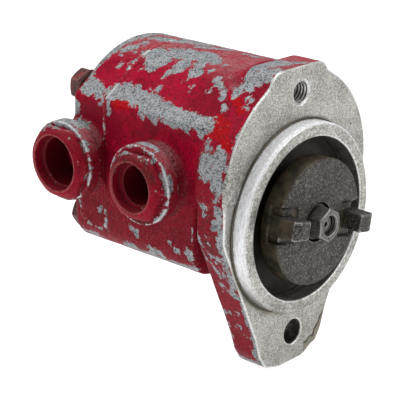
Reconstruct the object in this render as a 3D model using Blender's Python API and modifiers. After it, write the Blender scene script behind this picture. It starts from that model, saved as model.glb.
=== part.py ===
"""Hydraulic external-gear pump with a two-bolt pilot flange and a tang drive.

Frame: +Z up, the shaft runs along Y and the drive end faces -Y.  The origin is the centre of the
pilot on the flange's mounting face.  Sizes are in millimetres and are scaled to metres by MM.
"""
import math

import bmesh
import bpy
from mathutils import Vector

MM = 0.001
GAP = 0.3                    # clearance kept between neighbouring pieces

# Mounting flange, two-bolt "A" size
PILOT_R = 41.275
PILOT_H = 6.5
RECESS_R = 35.25
RECESS_FLOOR = 4.0
FLANGE_T = 15.0
FLANGE_R = 46.1
EAR_BOTTOM = -67.0
LOBE_TOP = 64.4
BOLT_SPACING = 106.4
TAPPED_R = 4.56
THROUGH_R = 5.58

# Cast section shared by the body and the rear cover
CROWN_Z = 16.6
CROWN_R = 45.9
PAD_X = -41.0
PAD_TOP = 43.5
CREASE_ANGLE = 134.5
CORNER_X = 29.0
CORNER_Z = -11.8
CORNER_R = 12.0
BELLY_R = 30.0
SHOULDER_Y = 21.5            # where the flange has blended into the section
SHOULDER_LOW = -24.0         # the blend stops here, above the ear

# Lengths along the shaft
CHAMBER_Y = 17.0
GEAR_Y0 = 31.3
GEAR_Y1 = 53.3
JOINT_Y = 72.3
COVER_Y0 = JOINT_Y + GAP
COVER_Y1 = 92.0

# Gears
TEETH = 11
MODULE = 3.0
CENTRES = TEETH * MODULE
GEAR_TIP_R = 19.5
GEAR_ROOT_R = 12.7
CHAMBER_R = GEAR_TIP_R + GAP
PRESSURE_ANGLE = 25.0
BACKLASH = 0.45

# Shafts and bearings
JOURNAL_R = 8.75
BUSH_IN_R = JOURNAL_R + GAP
BUSH_OUT_R = BUSH_IN_R + 1.5
SEAT_R = 7.9
SHAFT_END = -8.3
THREAD_R = 4.0
THREAD_END = -15.6
KEY_W = 4.0
KEY_TOP = 10.6               # distance of a key's outer face from the shaft's axis

# Shaft seal
SEAL_POCKET_R = 15.9
SEAL_POCKET_Y = 12.0
RING_GROOVE_R = 16.9
RING_GROOVE_Y = (4.9, 6.7)

# Drive dog
DOG_R = 27.2
DOG_FRONT = -11.6
DOG_BACK = -2.6
DOG_ANGLE = 10.3             # degrees the tangs lean from the horizontal at rest
TANG_IN = 17.4
TANG_OUT = 26.8
TANG_W = 8.0
TANG_FRONT = -20.8
NOTCH_IN = 14.5
NOTCH_W = 15.0
NOTCH_FLOOR = -10.4
RELIEF_IN = 23.9
RELIEF_W = 14.6
RELIEF_FLOOR = -6.4
WASHER_FLOOR = -8.6
HUB_R = 13.5
NUT_FLATS = 12.8
NUT_FRONT = -17.7
NUT_BACK = -10.7
NUT_ANGLE = 29.0

# Ports, both on the -X side
PORT_Z = 16.8
PRESSURE_Y = 40.3
SUCTION_Y = 85.8
PRESSURE_RIM_R = 17.0
SUCTION_RIM_R = 17.5
PRESSURE_THREAD_R = 10.0
SUCTION_THREAD_R = 12.0
RIM_X = 53.5                 # collar's outer face, measured towards -X
HEX_X = (53.8, 57.4)
LIP_X = 58.5
GALLERY_X = 15.0
GALLERY_R = 6.8
CORE_END = -8.0              # where the suction core starts to round off, past the shaft's plane

# Rear cover screws and dowels
SCREW_X = 29.2
SCREW_Z = (43.6, -14.6)
SCREW_R = 4.0
SCREW_FLATS = 13.0
SCREW_TIP_Y = 52.0
WASHER_Y1 = 93.9
HEAD_Y1 = 99.6
DOWELS = ((-34.5, 31.0), (34.5, 2.0))
DOWEL_R = 3.0
DOWEL_Y = (66.0, 79.0)


# ---------------------------------------------------------------- scene and materials

def clear_scene():
    for obj in list(bpy.data.objects):
        bpy.data.objects.remove(obj, do_unlink=True)


def new_collection(name):
    col = bpy.data.collections.new(name)
    bpy.context.scene.collection.children.link(col)
    return col


def material(name, colour, roughness, metallic):
    mat = bpy.data.materials.new(name)
    mat.use_nodes = True
    shader = mat.node_tree.nodes["Principled BSDF"]
    shader.inputs["Base Color"].default_value = (*colour, 1.0)
    shader.inputs["Roughness"].default_value = roughness
    shader.inputs["Metallic"].default_value = metallic
    return mat


def scaled(point):
    return Vector(point) * MM


def add_object(name, mesh, mat=None):
    """A finished piece when it has a material, otherwise a tool for a Boolean."""
    obj = bpy.data.objects.new(name, mesh)
    if mat is None:
        TOOLS.objects.link(obj)
        obj.hide_render = True
        obj.display_type = "WIRE"
    else:
        PARTS.objects.link(obj)
        mesh.materials.append(mat)
    return obj


def soften(mesh, angle=32.0):
    mesh.shade_smooth()
    mesh.set_sharp_from_angle(angle=math.radians(angle))


# ---------------------------------------------------------------- outlines in the XZ plane

def arc(cx, cz, radius, start, end, steps):
    """Points on an arc from start to end degrees, both ends included."""
    points = []
    for i in range(steps + 1):
        a = math.radians(start + (end - start) * i / steps)
        points.append((cx + radius * math.cos(a), cz + radius * math.sin(a)))
    return points


def rounded(corners, step=12.0):
    """A closed outline whose (x, z, radius) corners are replaced by arcs about step degrees apart."""
    outline = []
    for i, (x, z, radius) in enumerate(corners):
        here = Vector((x, z))
        if radius == 0:
            outline.append((x, z))
            continue
        to_last = (Vector(corners[i - 1][:2]) - here).normalized()
        to_next = (Vector(corners[(i + 1) % len(corners)][:2]) - here).normalized()
        half = to_last.angle(to_next) / 2
        reach = radius / math.tan(half)
        centre = here + (to_last + to_next).normalized() * (radius / math.sin(half))
        first = here + to_last * reach - centre
        turn = (here + to_next * reach - centre).angle_signed(first)
        steps = max(2, round(abs(math.degrees(turn)) / step))
        start = math.degrees(math.atan2(first.y, first.x))
        outline += arc(centre.x, centre.y, radius, start, start + math.degrees(turn), steps)
    return without_repeats(outline)


def without_repeats(outline):
    kept = []
    for point in outline:
        if not kept or math.dist(point, kept[-1]) > 0.01:
            kept.append(point)
    if math.dist(kept[0], kept[-1]) < 0.01:
        kept.pop()
    return kept


def circle(cx, cz, radius, steps=32):
    return arc(cx, cz, radius, 0, 360, steps)[:-1]


def hexagon(flats, turn=0.0):
    return arc(0, 0, flats / math.sqrt(3), turn, turn + 360, 6)[:-1]


def stadium(radius, steps=12):
    """Racetrack round both gear axes."""
    return arc(0, CENTRES, radius, 0, 180, steps) + arc(0, 0, radius, 180, 360, steps)


def figure_eight(radius, steps=14):
    """Union of two circles on the gear axes."""
    dip = math.degrees(math.asin(CENTRES / 2 / radius))
    upper = arc(0, CENTRES, radius, -dip, 180 + dip, steps)
    lower = arc(0, 0, radius, 180 - dip, 360 + dip, steps)
    return without_repeats(upper + lower)


def casting_section(inset=0.0):
    """Crowned top, flat port pad on the -X side with a sloping ledge above it, rounded corners."""
    outline = arc(0, CROWN_Z, CROWN_R - inset, -11.3, CREASE_ANGLE, 24)
    outline += [(PAD_X + 1.6, PAD_TOP + 1.0), (PAD_X + 0.3, PAD_TOP - 0.6), (PAD_X + inset, PAD_TOP - 2.5)]
    outline += arc(-CORNER_X, CORNER_Z, CORNER_R - inset, 180, 257, 7)
    outline += arc(0, 0, BELLY_R - inset, 257, 283, 4)
    outline += arc(CORNER_X, CORNER_Z, CORNER_R - inset, 283, 348.7, 6)
    return without_repeats(outline)


def flange_section():
    """Round crown with a squared lobe on top and a tapering ear below."""
    lobe = rounded([(21.5, 53.0, 0), (18.6, 57.5, 2.0), (18.6, LOBE_TOP, 8.0),
                    (-20.2, LOBE_TOP, 8.0), (-20.2, 57.0, 2.0), (-23.0, 53.0, 0)])
    lobe = [(x, z) for x, z in lobe if math.dist((x, z), (0, CROWN_Z)) > FLANGE_R + 0.4]
    left = [(-FLANGE_R, -1.5, 12.0), (-24.4, -50.0, 14.0), (-21.8, -58.5, 5.0), (-17.8, -64.6, 4.0)]
    left.append((-9.0, EAR_BOTTOM, 12.0))
    right = [(-x, z, r) for x, z, r in reversed(left)]
    ear = rounded([(-FLANGE_R, CROWN_Z, 0)] + left + right + [(FLANGE_R, CROWN_Z, 0)], step=7.5)
    crown_right = arc(0, CROWN_Z, FLANGE_R, 0, 61, 9)
    crown_left = arc(0, CROWN_Z, FLANGE_R, 121, 180, 9)
    return without_repeats(crown_right + lobe + crown_left + ear)


def tooth_half_angle(radius):
    """Half the angular thickness of an involute tooth at a radius, in degrees."""
    pitch_r = CENTRES / 2
    base_r = pitch_r * math.cos(math.radians(PRESSURE_ANGLE))
    half_pitch = math.pi / (2 * TEETH) - BACKLASH / (2 * pitch_r)
    at_radius = math.acos(min(1.0, base_r / max(radius, base_r)))
    at_pitch = math.radians(PRESSURE_ANGLE)
    involute = (math.tan(at_radius) - at_radius) - (math.tan(at_pitch) - at_pitch)
    return math.degrees(half_pitch - involute)


def gear_outline(cx, cz, first_tooth):
    """Involute teeth, the first one pointing at first_tooth degrees."""
    radii = (GEAR_ROOT_R + 1.6, 16.0, 17.8, GEAR_TIP_R)
    outline = []
    for n in range(TEETH):
        mid = first_tooth + 360.0 * n / TEETH
        gap_edge = 180.0 / TEETH - 4.0
        flank = [(r, tooth_half_angle(r)) for r in radii]
        ring = [(GEAR_ROOT_R, -gap_edge)] + [(r, -a) for r, a in flank]
        ring += [(r, a) for r, a in reversed(flank)] + [(GEAR_ROOT_R, gap_edge)]
        for r, a in ring:
            angle = math.radians(mid + a)
            outline.append((cx + r * math.cos(angle), cz + r * math.sin(angle)))
    return outline


# ---------------------------------------------------------------- solids

def as_mesh(curve_obj, name):
    """Mesh copy of a curve object, with its caps welded and its placement applied."""
    graph = bpy.context.evaluated_depsgraph_get()
    mesh = bpy.data.meshes.new_from_object(curve_obj.evaluated_get(graph))
    mesh.name = name
    mesh.materials.clear()
    mesh.transform(curve_obj.matrix_world)
    bm = bmesh.new()
    bm.from_mesh(mesh)
    bmesh.ops.remove_doubles(bm, verts=bm.verts, dist=1e-6)
    bmesh.ops.recalc_face_normals(bm, faces=bm.faces)
    bm.to_mesh(mesh)
    bm.free()
    bpy.data.objects.remove(curve_obj)
    return mesh


def plate(name, outline, y0, y1, mat=None, hole=None):
    """An XZ outline, with one hole through it if given, extruded from y0 to y1."""
    curve = bpy.data.curves.new(name, "CURVE")
    curve.dimensions = "2D"
    curve.fill_mode = "BOTH"
    curve.extrude = abs(y1 - y0) / 2 * MM
    for loop in (outline, hole or ()):
        if not loop:
            continue
        spline = curve.splines.new("POLY")
        spline.points.add(len(loop) - 1)
        spline.use_cyclic_u = True
        for point, (x, z) in zip(spline.points, loop):
            point.co = (x * MM, z * MM, 0, 1)
    flat = bpy.data.objects.new(name, curve)
    flat.rotation_euler = (math.pi / 2, 0, 0)
    flat.location = (0, (y0 + y1) / 2 * MM, 0)
    bpy.context.scene.collection.objects.link(flat)
    bpy.context.view_layer.update()
    mesh = as_mesh(flat, name)
    soften(mesh)
    return add_object(name, mesh, mat)


def turned(name, profile, origin, axis, mat=None, steps=40, closed=False):
    """A (radius, height) profile spun about an axis; it runs down the outer side."""
    mesh = bpy.data.meshes.new(name)
    bm = bmesh.new()
    verts = [bm.verts.new((r * MM, 0, h * MM)) for r, h in profile]
    for a, b in zip(verts, verts[1:]):
        bm.edges.new((a, b))
    if closed:
        bm.edges.new((verts[-1], verts[0]))
    bm.to_mesh(mesh)
    bm.free()
    obj = add_object(name, mesh, mat)
    obj.location = scaled(origin)
    obj.rotation_euler = Vector(axis).to_track_quat("Z", "Y").to_euler()
    spin = obj.modifiers.new("Spin", "SCREW")
    spin.steps = steps
    spin.render_steps = steps
    spin.use_merge_vertices = True
    spin.merge_threshold = 0.00002
    spin.use_smooth_shade = True
    return obj


def ring(name, inner, outer, y0, y1, centre, mat, steps=28):
    """A bush, washer or flat ring along Y."""
    x, z = centre
    profile = [(outer, -y0), (outer, -y1), (inner, -y1), (inner, -y0)]
    return turned(name, profile, (x, 0, z), (0, -1, 0), mat, steps, closed=True)


def rod(name, radius, y0, y1, centre=(0, 0), mat=None, steps=32, edge=0.0):
    """A round bar along Y, for pins and for bores."""
    x, z = centre
    profile = [(0, -y0), (radius - edge, -y0)]
    if edge:
        profile += [(radius, -y0 - edge), (radius, -y1 + edge)]
    profile += [(radius - edge, -y1), (0, -y1)]
    return turned(name, profile, (x, 0, z), (0, -1, 0), mat, steps)


def block(name, low, high, turn=0.0, mat=None):
    """A box between two corners, turned about the Y axis by turn degrees."""
    bm = bmesh.new()
    bmesh.ops.create_cube(bm, size=1.0)
    size = Vector(high) - Vector(low)
    bmesh.ops.scale(bm, vec=size * MM, verts=bm.verts)
    bmesh.ops.translate(bm, vec=(Vector(low) + Vector(high)) / 2 * MM, verts=bm.verts)
    mesh = bpy.data.meshes.new(name)
    bm.to_mesh(mesh)
    bm.free()
    obj = add_object(name, mesh, mat)
    obj.rotation_euler = (0, math.radians(turn), 0)
    return obj


def hull(name, outlines):
    """Convex skin over outlines given as (y, points)."""
    bm = bmesh.new()
    for y, outline in outlines:
        for x, z in outline:
            bm.verts.new((x * MM, y * MM, z * MM))
    skin = bmesh.ops.convex_hull(bm, input=bm.verts)
    inside = [v for v in skin["geom_interior"] if isinstance(v, bmesh.types.BMVert)]
    bmesh.ops.delete(bm, geom=inside, context="VERTS")
    bmesh.ops.dissolve_limit(bm, angle_limit=0.002, verts=bm.verts, edges=bm.edges)
    mesh = bpy.data.meshes.new(name)
    bm.to_mesh(mesh)
    bm.free()
    return add_object(name, mesh)


def boolean(obj, operation, tools):
    for tool in tools:
        step = obj.modifiers.new(f"{operation.title()} {tool.name}", "BOOLEAN")
        step.operation = operation
        step.solver = "EXACT"
        step.object = tool


def join(obj, *tools):
    boolean(obj, "UNION", tools)


def cut(obj, *tools):
    boolean(obj, "DIFFERENCE", tools)


def cord_ring(name, path, radius, y, mat):
    """An O-ring that follows a closed XZ path in the plane y."""
    curve = bpy.data.curves.new(name, "CURVE")
    curve.dimensions = "3D"
    curve.bevel_depth = radius * MM
    curve.bevel_resolution = 1
    spline = curve.splines.new("POLY")
    spline.points.add(len(path) - 1)
    spline.use_cyclic_u = True
    for point, (x, z) in zip(spline.points, path):
        point.co = (x * MM, y * MM, z * MM, 1)
    loop = bpy.data.objects.new(name, curve)
    bpy.context.scene.collection.objects.link(loop)
    bpy.context.view_layer.update()
    mesh = as_mesh(loop, name)
    soften(mesh, 60)
    return add_object(name, mesh, mat)


# ---------------------------------------------------------------- castings

def boss_profile(rim_r, inner_end):
    """Collar, waist and flared root of a port boss, then a plain core inwards to inner_end."""
    edge, collar_back, flare, flare_length = 0.9, 47.0, 4.6, 4.9
    waist = rim_r - 3.0
    profile = [(0, RIM_X), (rim_r - edge, RIM_X), (rim_r, RIM_X - edge)]
    profile += [(rim_r, collar_back + edge), (rim_r - edge, collar_back), (waist + 0.3, 46.4)]
    for i in range(6):
        a = math.radians(90 * i / 5)
        profile.append((waist + flare * (1 - math.cos(a)), 45.6 - flare_length * math.sin(a)))
    return profile + [(waist + flare, 38.0), (waist, 37.0), (waist, inner_end)]


def port_bore(tag, y, thread_r, passage_r, passage_end):
    """O-ring seat, threaded bore and the drilled passage behind it, as one stepped tool."""
    seat_r, seat_x, thread_x = thread_r + 2.6, RIM_X - 2.5, 40.5
    profile = [(0, RIM_X + 1), (seat_r, RIM_X + 1), (seat_r, seat_x)]
    profile += [(thread_r + GAP, seat_x), (thread_r + GAP, thread_x), (passage_r, thread_x)]
    profile += [(passage_r, passage_end), (0, passage_end)]
    return turned(f"{tag}_port_bore", profile, (0, y, PORT_Z), (-1, 0, 0), steps=32)


def screw_centres():
    return [(side * SCREW_X, z) for z in SCREW_Z for side in (-1, 1)]


def drive_end_bore():
    """Recess for the dog, seal pocket with its ring groove, and the shaft hole."""
    hole = JOURNAL_R + 0.9
    groove_y0, groove_y1 = RING_GROOVE_Y
    profile = [(0, PILOT_H + 2), (RECESS_R, PILOT_H + 2), (RECESS_R, -RECESS_FLOOR)]
    profile += [(SEAL_POCKET_R, -RECESS_FLOOR), (SEAL_POCKET_R, -groove_y0), (RING_GROOVE_R, -groove_y0)]
    profile += [(RING_GROOVE_R, -groove_y1), (SEAL_POCKET_R, -groove_y1), (SEAL_POCKET_R, -SEAL_POCKET_Y)]
    profile += [(hole, -SEAL_POCKET_Y), (hole, -CHAMBER_Y - 2), (0, -CHAMBER_Y - 2)]
    return turned("drive_end_bore", profile, (0, 0, 0), (0, -1, 0), steps=56)


def shoulder():
    """Sloping blend from the round of the flange, without its lobe and ear, to the cast section."""
    front = []
    for x, z in flange_section():
        if z > SHOULDER_LOW and math.dist((x, z), (0, CROWN_Z)) < FLANGE_R + 0.3:
            front.append((x, z))
    return hull("shoulder", [(9.0, front), (SHOULDER_Y, casting_section(0.05))])


def body_housing(mat):
    body = plate("body_housing", casting_section(), 9.5, JOINT_Y, mat)
    edge = 0.7
    pilot = [(0, PILOT_H), (PILOT_R - edge, PILOT_H), (PILOT_R, PILOT_H - edge), (PILOT_R, -3.0), (0, -3.0)]
    boss = boss_profile(PRESSURE_RIM_R, 30.0) + [(0, 30.0)]
    join(body,
         shoulder(),
         plate("flange_plate", flange_section(), 0, FLANGE_T),
         turned("pilot", pilot, (0, 0, 0), (0, -1, 0), steps=64),
         turned("pressure_boss", boss, (0, PRESSURE_Y, PORT_Z), (-1, 0, 0), steps=36))
    cut(body,
        drive_end_bore(),
        plate("gear_chamber", figure_eight(CHAMBER_R, 20), CHAMBER_Y, JOINT_Y + 2),
        rod("suction_gallery", GALLERY_R, 36.0, JOINT_Y + 3, (GALLERY_X, CENTRES / 2), steps=20),
        rod("tapped_hole", TAPPED_R, -2, 13.5, (0, BOLT_SPACING / 2), steps=20),
        rod("through_hole", THROUGH_R, -2, FLANGE_T + 4, (0, -BOLT_SPACING / 2), steps=20),
        port_bore("pressure", PRESSURE_Y, PRESSURE_THREAD_R, 7.4, 7.0))
    for i, centre in enumerate(screw_centres()):
        name = f"body_screw_hole_{i + 1}"
        cut(body, rod(name, SCREW_R + GAP, SCREW_TIP_Y - 1, JOINT_Y + 1, centre, steps=12))
    for i, centre in enumerate(DOWELS):
        name = f"body_dowel_hole_{i + 1}"
        cut(body, rod(name, DOWEL_R + GAP, DOWEL_Y[0] - 0.5, JOINT_Y + 1, centre, steps=12))
    return body


def suction_boss():
    """The rear port's boss and the round core that carries its passage, flush with the joint."""
    core_r = SUCTION_RIM_R - 3.0
    core = boss_profile(SUCTION_RIM_R, CORE_END)
    for degrees in (18, 36, 54, 72):
        a = math.radians(degrees)
        core.append((core_r * math.cos(a), CORE_END - core_r * math.sin(a)))
    core.append((0, CORE_END - core_r))
    boss = turned("suction_boss", core, (0, SUCTION_Y, PORT_Z), (-1, 0, 0), steps=36)
    cut(boss, block("joint_trim", (-46.9, 55.0, -20.0), (45.0, COVER_Y0 + 0.1, 55.0)))
    return boss


def rear_cover(mat):
    cover = plate("rear_cover", casting_section(), COVER_Y0, COVER_Y1, mat)
    join(cover, suction_boss())
    cut(cover,
        plate("oring_groove", stadium(25.8), COVER_Y0 - 1, COVER_Y0 + 2.6, hole=stadium(22.8)),
        rod("cover_gallery", GALLERY_R, COVER_Y0 - 4, SUCTION_Y, (GALLERY_X, CENTRES / 2), steps=20),
        port_bore("suction", SUCTION_Y, SUCTION_THREAD_R, 8.2, -GALLERY_X - 2))
    for i, centre in enumerate(screw_centres()):
        name = f"cover_screw_hole_{i + 1}"
        cut(cover, rod(name, SCREW_R + 0.4, COVER_Y0 - 1, COVER_Y1 + 1, centre, steps=12))
    for i, centre in enumerate(DOWELS):
        name = f"cover_dowel_hole_{i + 1}"
        cut(cover, rod(name, DOWEL_R + GAP, COVER_Y0 - 1, DOWEL_Y[1] + 0.6, centre, steps=12))
    return cover


# ---------------------------------------------------------------- ports

def port_adapter(name, y, thread_r, hex_flats, lip_r, seat_r, bore_r, mat):
    """Threaded stub, hexagon and round lip with a stepped bore, along X."""
    edge, seat_depth, stub_end = 0.4, 4.5, 41.0
    profile = [(0, LIP_X), (lip_r - edge, LIP_X), (lip_r, LIP_X - edge), (lip_r, HEX_X[0] + GAP)]
    profile += [(thread_r, HEX_X[0] + GAP), (thread_r, stub_end + 1), (thread_r - 1, stub_end), (0, stub_end)]
    adapter = turned(name, profile, (0, y, PORT_Z), (-1, 0, 0), mat, steps=32)
    flange = plate(f"{name}_hexagon", hexagon(hex_flats), -HEX_X[1], -HEX_X[0])
    flange.rotation_euler = (0, 0, -math.pi / 2)
    flange.location = scaled((0, y, PORT_Z))
    join(adapter, flange)
    bore = [(0, LIP_X + 1), (seat_r, LIP_X + 1), (seat_r, LIP_X - seat_depth)]
    bore += [(bore_r, LIP_X - seat_depth), (bore_r, stub_end - 1), (0, stub_end - 1)]
    cut(adapter, turned(f"{name}_bore", bore, (0, y, PORT_Z), (-1, 0, 0), steps=28))
    return adapter


def port_oring(name, y, thread_r, mat):
    path = circle(0, 0, thread_r + 1.45, 24)
    seal = cord_ring(name, path, 0.95, 0, mat)
    seal.rotation_euler = (0, 0, -math.pi / 2)
    seal.location = scaled((1.1 - RIM_X, y, PORT_Z))
    return seal


# ---------------------------------------------------------------- rotating group

def drive_shaft(mat):
    profile = [(0, -THREAD_END), (THREAD_R - 0.6, -THREAD_END), (THREAD_R, -THREAD_END - 0.6)]
    profile += [(THREAD_R, -SHAFT_END), (SEAT_R, -SHAFT_END), (JOURNAL_R - 0.4, -2.6)]
    profile += [(JOURNAL_R, -3.2), (JOURNAL_R, -70.8), (JOURNAL_R - 0.8, -71.6), (0, -71.6)]
    shaft = turned("drive_shaft", profile, (0, 0, 0), (0, -1, 0), mat, steps=32)
    half = KEY_W / 2 + GAP
    cut(shaft,
        block("dog_key_slot", (-half, -7.3, 5.4), (half, 1.3, 14), DOG_ANGLE),
        block("gear_key_slot", (-half, 34.0, 5.7), (half, 50.6, 14)))
    return shaft


def idler_shaft(mat):
    return rod("idler_shaft", JOURNAL_R, CHAMBER_Y + 0.8, 71.6, (0, CENTRES), mat, steps=32, edge=0.8)


def gear(name, z, first_tooth, mat):
    wheel = plate(name, gear_outline(0, 0, first_tooth), GEAR_Y0, GEAR_Y1, mat)
    wheel.location = scaled((0, 0, z))
    cut(wheel, rod(f"{name}_bore", JOURNAL_R + GAP, GEAR_Y0 - 2, GEAR_Y1 + 2, (0, z), steps=28))
    return wheel


def drive_dog(mat):
    """Coupling disc with two square tangs standing in shallow notches, the rim cut away beside them."""
    front, back, hub_end, edge = -DOG_FRONT, -DOG_BACK, -2.6, 0.5
    profile = [(0, front), (DOG_R - edge, front), (DOG_R, front - edge), (DOG_R, back + edge)]
    profile += [(DOG_R - edge, back), (HUB_R, back), (HUB_R, hub_end + edge), (HUB_R - edge, hub_end)]
    dog = turned("drive_dog", profile + [(0, hub_end)], (0, 0, 0), (0, -1, 0), mat, steps=48)
    for side, name in ((-1, "left"), (1, "right")):
        x0, x1 = sorted((side * NOTCH_IN, side * (DOG_R + 3)))
        cut(dog, block(f"{name}_notch", (x0, DOG_FRONT - 3, -NOTCH_W / 2),
                       (x1, NOTCH_FLOOR, NOTCH_W / 2), DOG_ANGLE))
        x0, x1 = sorted((side * RELIEF_IN, side * (DOG_R + 3)))
        cut(dog, block(f"{name}_relief", (x0, DOG_FRONT - 3.5, -RELIEF_W / 2),
                       (x1 + side, RELIEF_FLOOR, RELIEF_W / 2), DOG_ANGLE))
        x0, x1 = sorted((side * TANG_IN, side * TANG_OUT))
        prong = block(f"{name}_tang", (x0, TANG_FRONT, -TANG_W / 2), (x1, DOG_BACK - 3, TANG_W / 2),
                      DOG_ANGLE)
        bevel = prong.modifiers.new("Edges", "BEVEL")
        bevel.width = 0.8 * MM
        bevel.segments = 1
        join(dog, prong)
    cut(dog, dog_bore())
    half = KEY_W / 2 + GAP
    cut(dog, block("dog_keyway", (-half, -9.5, 4), (half, 5, KEY_TOP + GAP), DOG_ANGLE))
    return dog


def dog_bore():
    """Counterbore for the lock washer, then the tapered seat on the shaft."""
    washer_r, wide_r, floor = 8.4, JOURNAL_R - 0.1, -WASHER_FLOOR
    profile = [(0, 20), (washer_r, 20), (washer_r, floor), (SEAT_R + GAP, floor), (wide_r, -3.0)]
    return turned("dog_bore", profile + [(wide_r, -5), (0, -5)], (0, 0, 0), (0, -1, 0), steps=28)


def dog_nut(mat):
    nut = plate("dog_nut", hexagon(NUT_FLATS, NUT_ANGLE), NUT_FRONT, NUT_BACK, mat)
    cone = turned("nut_chamfer", [(0, 20), (6.2, 17.8), (7.8, 16.9), (7.8, 5), (0, 5)],
                  (0, 0, 0), (0, -1, 0), steps=24)
    chamfer = nut.modifiers.new("Corners", "BOOLEAN")
    chamfer.operation = "INTERSECT"
    chamfer.object = cone
    cut(nut, rod("nut_bore", THREAD_R + GAP, -20, -5, steps=20))
    return nut


def split_ring(name, inner, outer, y0, y1, opening, turn, mat):
    """A flat ring cut through on one side, such as a lock washer or a retaining ring."""
    washer = ring(name, inner, outer, y0, y1, (0, 0), mat)
    cut(washer, block(f"{name}_split", (-opening / 2, y0 - 1, inner - 4), (opening / 2, y1 + 1, outer + 2),
                      turn))
    return washer


# ---------------------------------------------------------------- bearings and seals

def bearing_block(name, y0, y1, groove_y0, groove_y1, mat):
    """Figure-eight block with two bush bores and a seal groove on its pressure face."""
    body = plate(name, figure_eight(GEAR_TIP_R), y0, y1, mat)
    cut(body, plate(f"{name}_groove", figure_eight(18.5), groove_y0, groove_y1, hole=figure_eight(16.6)))
    for z in (0, CENTRES):
        cut(body, rod(f"{name}_bore_{z:.0f}", BUSH_OUT_R + GAP, y0 - 3, y1 + 3, (0, z), steps=24))
    return body


def block_seal(name, y0, y1, mat):
    return plate(name, figure_eight(18.2), y0, y1, mat, hole=figure_eight(16.9))


def shaft_seal(mat):
    """Lip seal: a cup with a garter side that touches the shaft journal."""
    profile = [(15.6, -7.0), (15.6, -11.7), (13.6, -11.7), (13.6, -8.8), (11.2, -8.8), (10.6, -11.2)]
    profile += [(9.6, -11.2), (JOURNAL_R + GAP, -9.8), (10.0, -7.0)]
    return turned("shaft_seal", profile, (0, 0, 0), (0, -1, 0), mat, steps=28, closed=True)


# ---------------------------------------------------------------- fasteners

def cover_screw(index, centre, mat):
    """Hexagon-head cap screw pointing to -Y."""
    x, z = centre
    head = plate(f"cover_screw_{index}", hexagon(SCREW_FLATS, 30), WASHER_Y1 + GAP, HEAD_Y1, mat)
    head.location = scaled((x, 0, z))
    outside = SCREW_FLATS * 0.61
    profile = [(0, -80), (outside, -80), (outside, 0.7 - HEAD_Y1), (6.3, -HEAD_Y1 - 0.2), (0, -HEAD_Y1 - 1)]
    cone = turned(f"screw_head_{index}_chamfer", profile, (x, 0, z), (0, -1, 0), steps=24)
    chamfer = head.modifiers.new("Corners", "BOOLEAN")
    chamfer.operation = "INTERSECT"
    chamfer.object = cone
    join(head, rod(f"screw_shank_{index}", SCREW_R, SCREW_TIP_Y, 96.0, centre, steps=16, edge=0.6))
    return head


# ---------------------------------------------------------------- assembly

def build():
    red = material("red_painted_aluminium", (0.45, 0.01, 0.03), 0.4, 0.0)
    steel = material("oiled_steel", (0.16, 0.15, 0.13), 0.4, 0.9)
    ground = material("ground_steel", (0.55, 0.55, 0.55), 0.25, 1.0)
    dark = material("rusty_screw_steel", (0.12, 0.06, 0.05), 0.6, 0.6)
    bronze = material("bearing_bronze", (0.55, 0.36, 0.16), 0.35, 0.9)
    alloy = material("block_aluminium", (0.62, 0.62, 0.6), 0.4, 0.8)
    rubber = material("black_rubber", (0.02, 0.02, 0.02), 0.7, 0.0)

    body_housing(red)
    rear_cover(red)
    port_adapter("pressure_port_adapter", PRESSURE_Y, PRESSURE_THREAD_R, 27.0, 11.9, 10.4, 8.2, red)
    port_adapter("suction_port_adapter", SUCTION_Y, SUCTION_THREAD_R, 30.0, 13.3, 12.0, 10.4, red)
    port_oring("pressure_port_oring", PRESSURE_Y, PRESSURE_THREAD_R, rubber)
    port_oring("suction_port_oring", SUCTION_Y, SUCTION_THREAD_R, rubber)

    drive_shaft(ground)
    idler_shaft(ground)
    drive_gear = gear("drive_gear", 0, 90.0, ground)
    half = KEY_W / 2 + GAP
    cut(drive_gear, block("gear_keyway", (-half, GEAR_Y0 - 2, 5), (half, GEAR_Y1 + 2, KEY_TOP + GAP)))
    gear("idler_gear", CENTRES, 270.0 + 180.0 / TEETH, ground)
    block("drive_gear_key", (-KEY_W / 2, 34.3, 6.0), (KEY_W / 2, 50.3, KEY_TOP), mat=steel)
    block("dog_key", (-KEY_W / 2, -7.0, 5.7), (KEY_W / 2, 1.0, KEY_TOP), DOG_ANGLE, steel)
    drive_dog(steel)
    split_ring("dog_lock_washer", THREAD_R + GAP, 7.7, -10.4, -8.9, 1.6, 140, steel)
    dog_nut(steel)

    bearing_block("front_bearing_block", 17.3, 31.0, 16.0, 19.3, alloy)
    bearing_block("rear_bearing_block", 53.6, 72.0, 70.0, 73.3, alloy)
    block_seal("front_block_seal", 17.5, 19.0, rubber)
    block_seal("rear_block_seal", 70.3, 71.8, rubber)
    for end, y0, y1 in (("front", 17.6, 30.7), ("rear", 53.9, 71.7)):
        for shaft, z in (("drive", 0), ("idler", CENTRES)):
            ring(f"{end}_{shaft}_bush", BUSH_IN_R, BUSH_OUT_R, y0, y1, (0, z), bronze, steps=24)
    shaft_seal(rubber)
    split_ring("seal_retaining_ring", 13.6, 16.5, 5.2, 6.4, 7.0, 180, ground)
    cord_ring("cover_oring", stadium(24.3), 1.1, COVER_Y0 + 1.35, rubber)

    for i, centre in enumerate(DOWELS):
        rod(f"dowel_pin_{i + 1}", DOWEL_R, *DOWEL_Y, centre, ground, steps=20, edge=0.6)
    for i, centre in enumerate(screw_centres()):
        ring(f"cover_washer_{i + 1}", SCREW_R + GAP, 7.4, COVER_Y1 + GAP, WASHER_Y1, centre, dark, steps=20)
        cover_screw(i + 1, centre, dark)


clear_scene()
PARTS = new_collection("hydraulic_gear_pump")
TOOLS = new_collection("cutters")
build()
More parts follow.
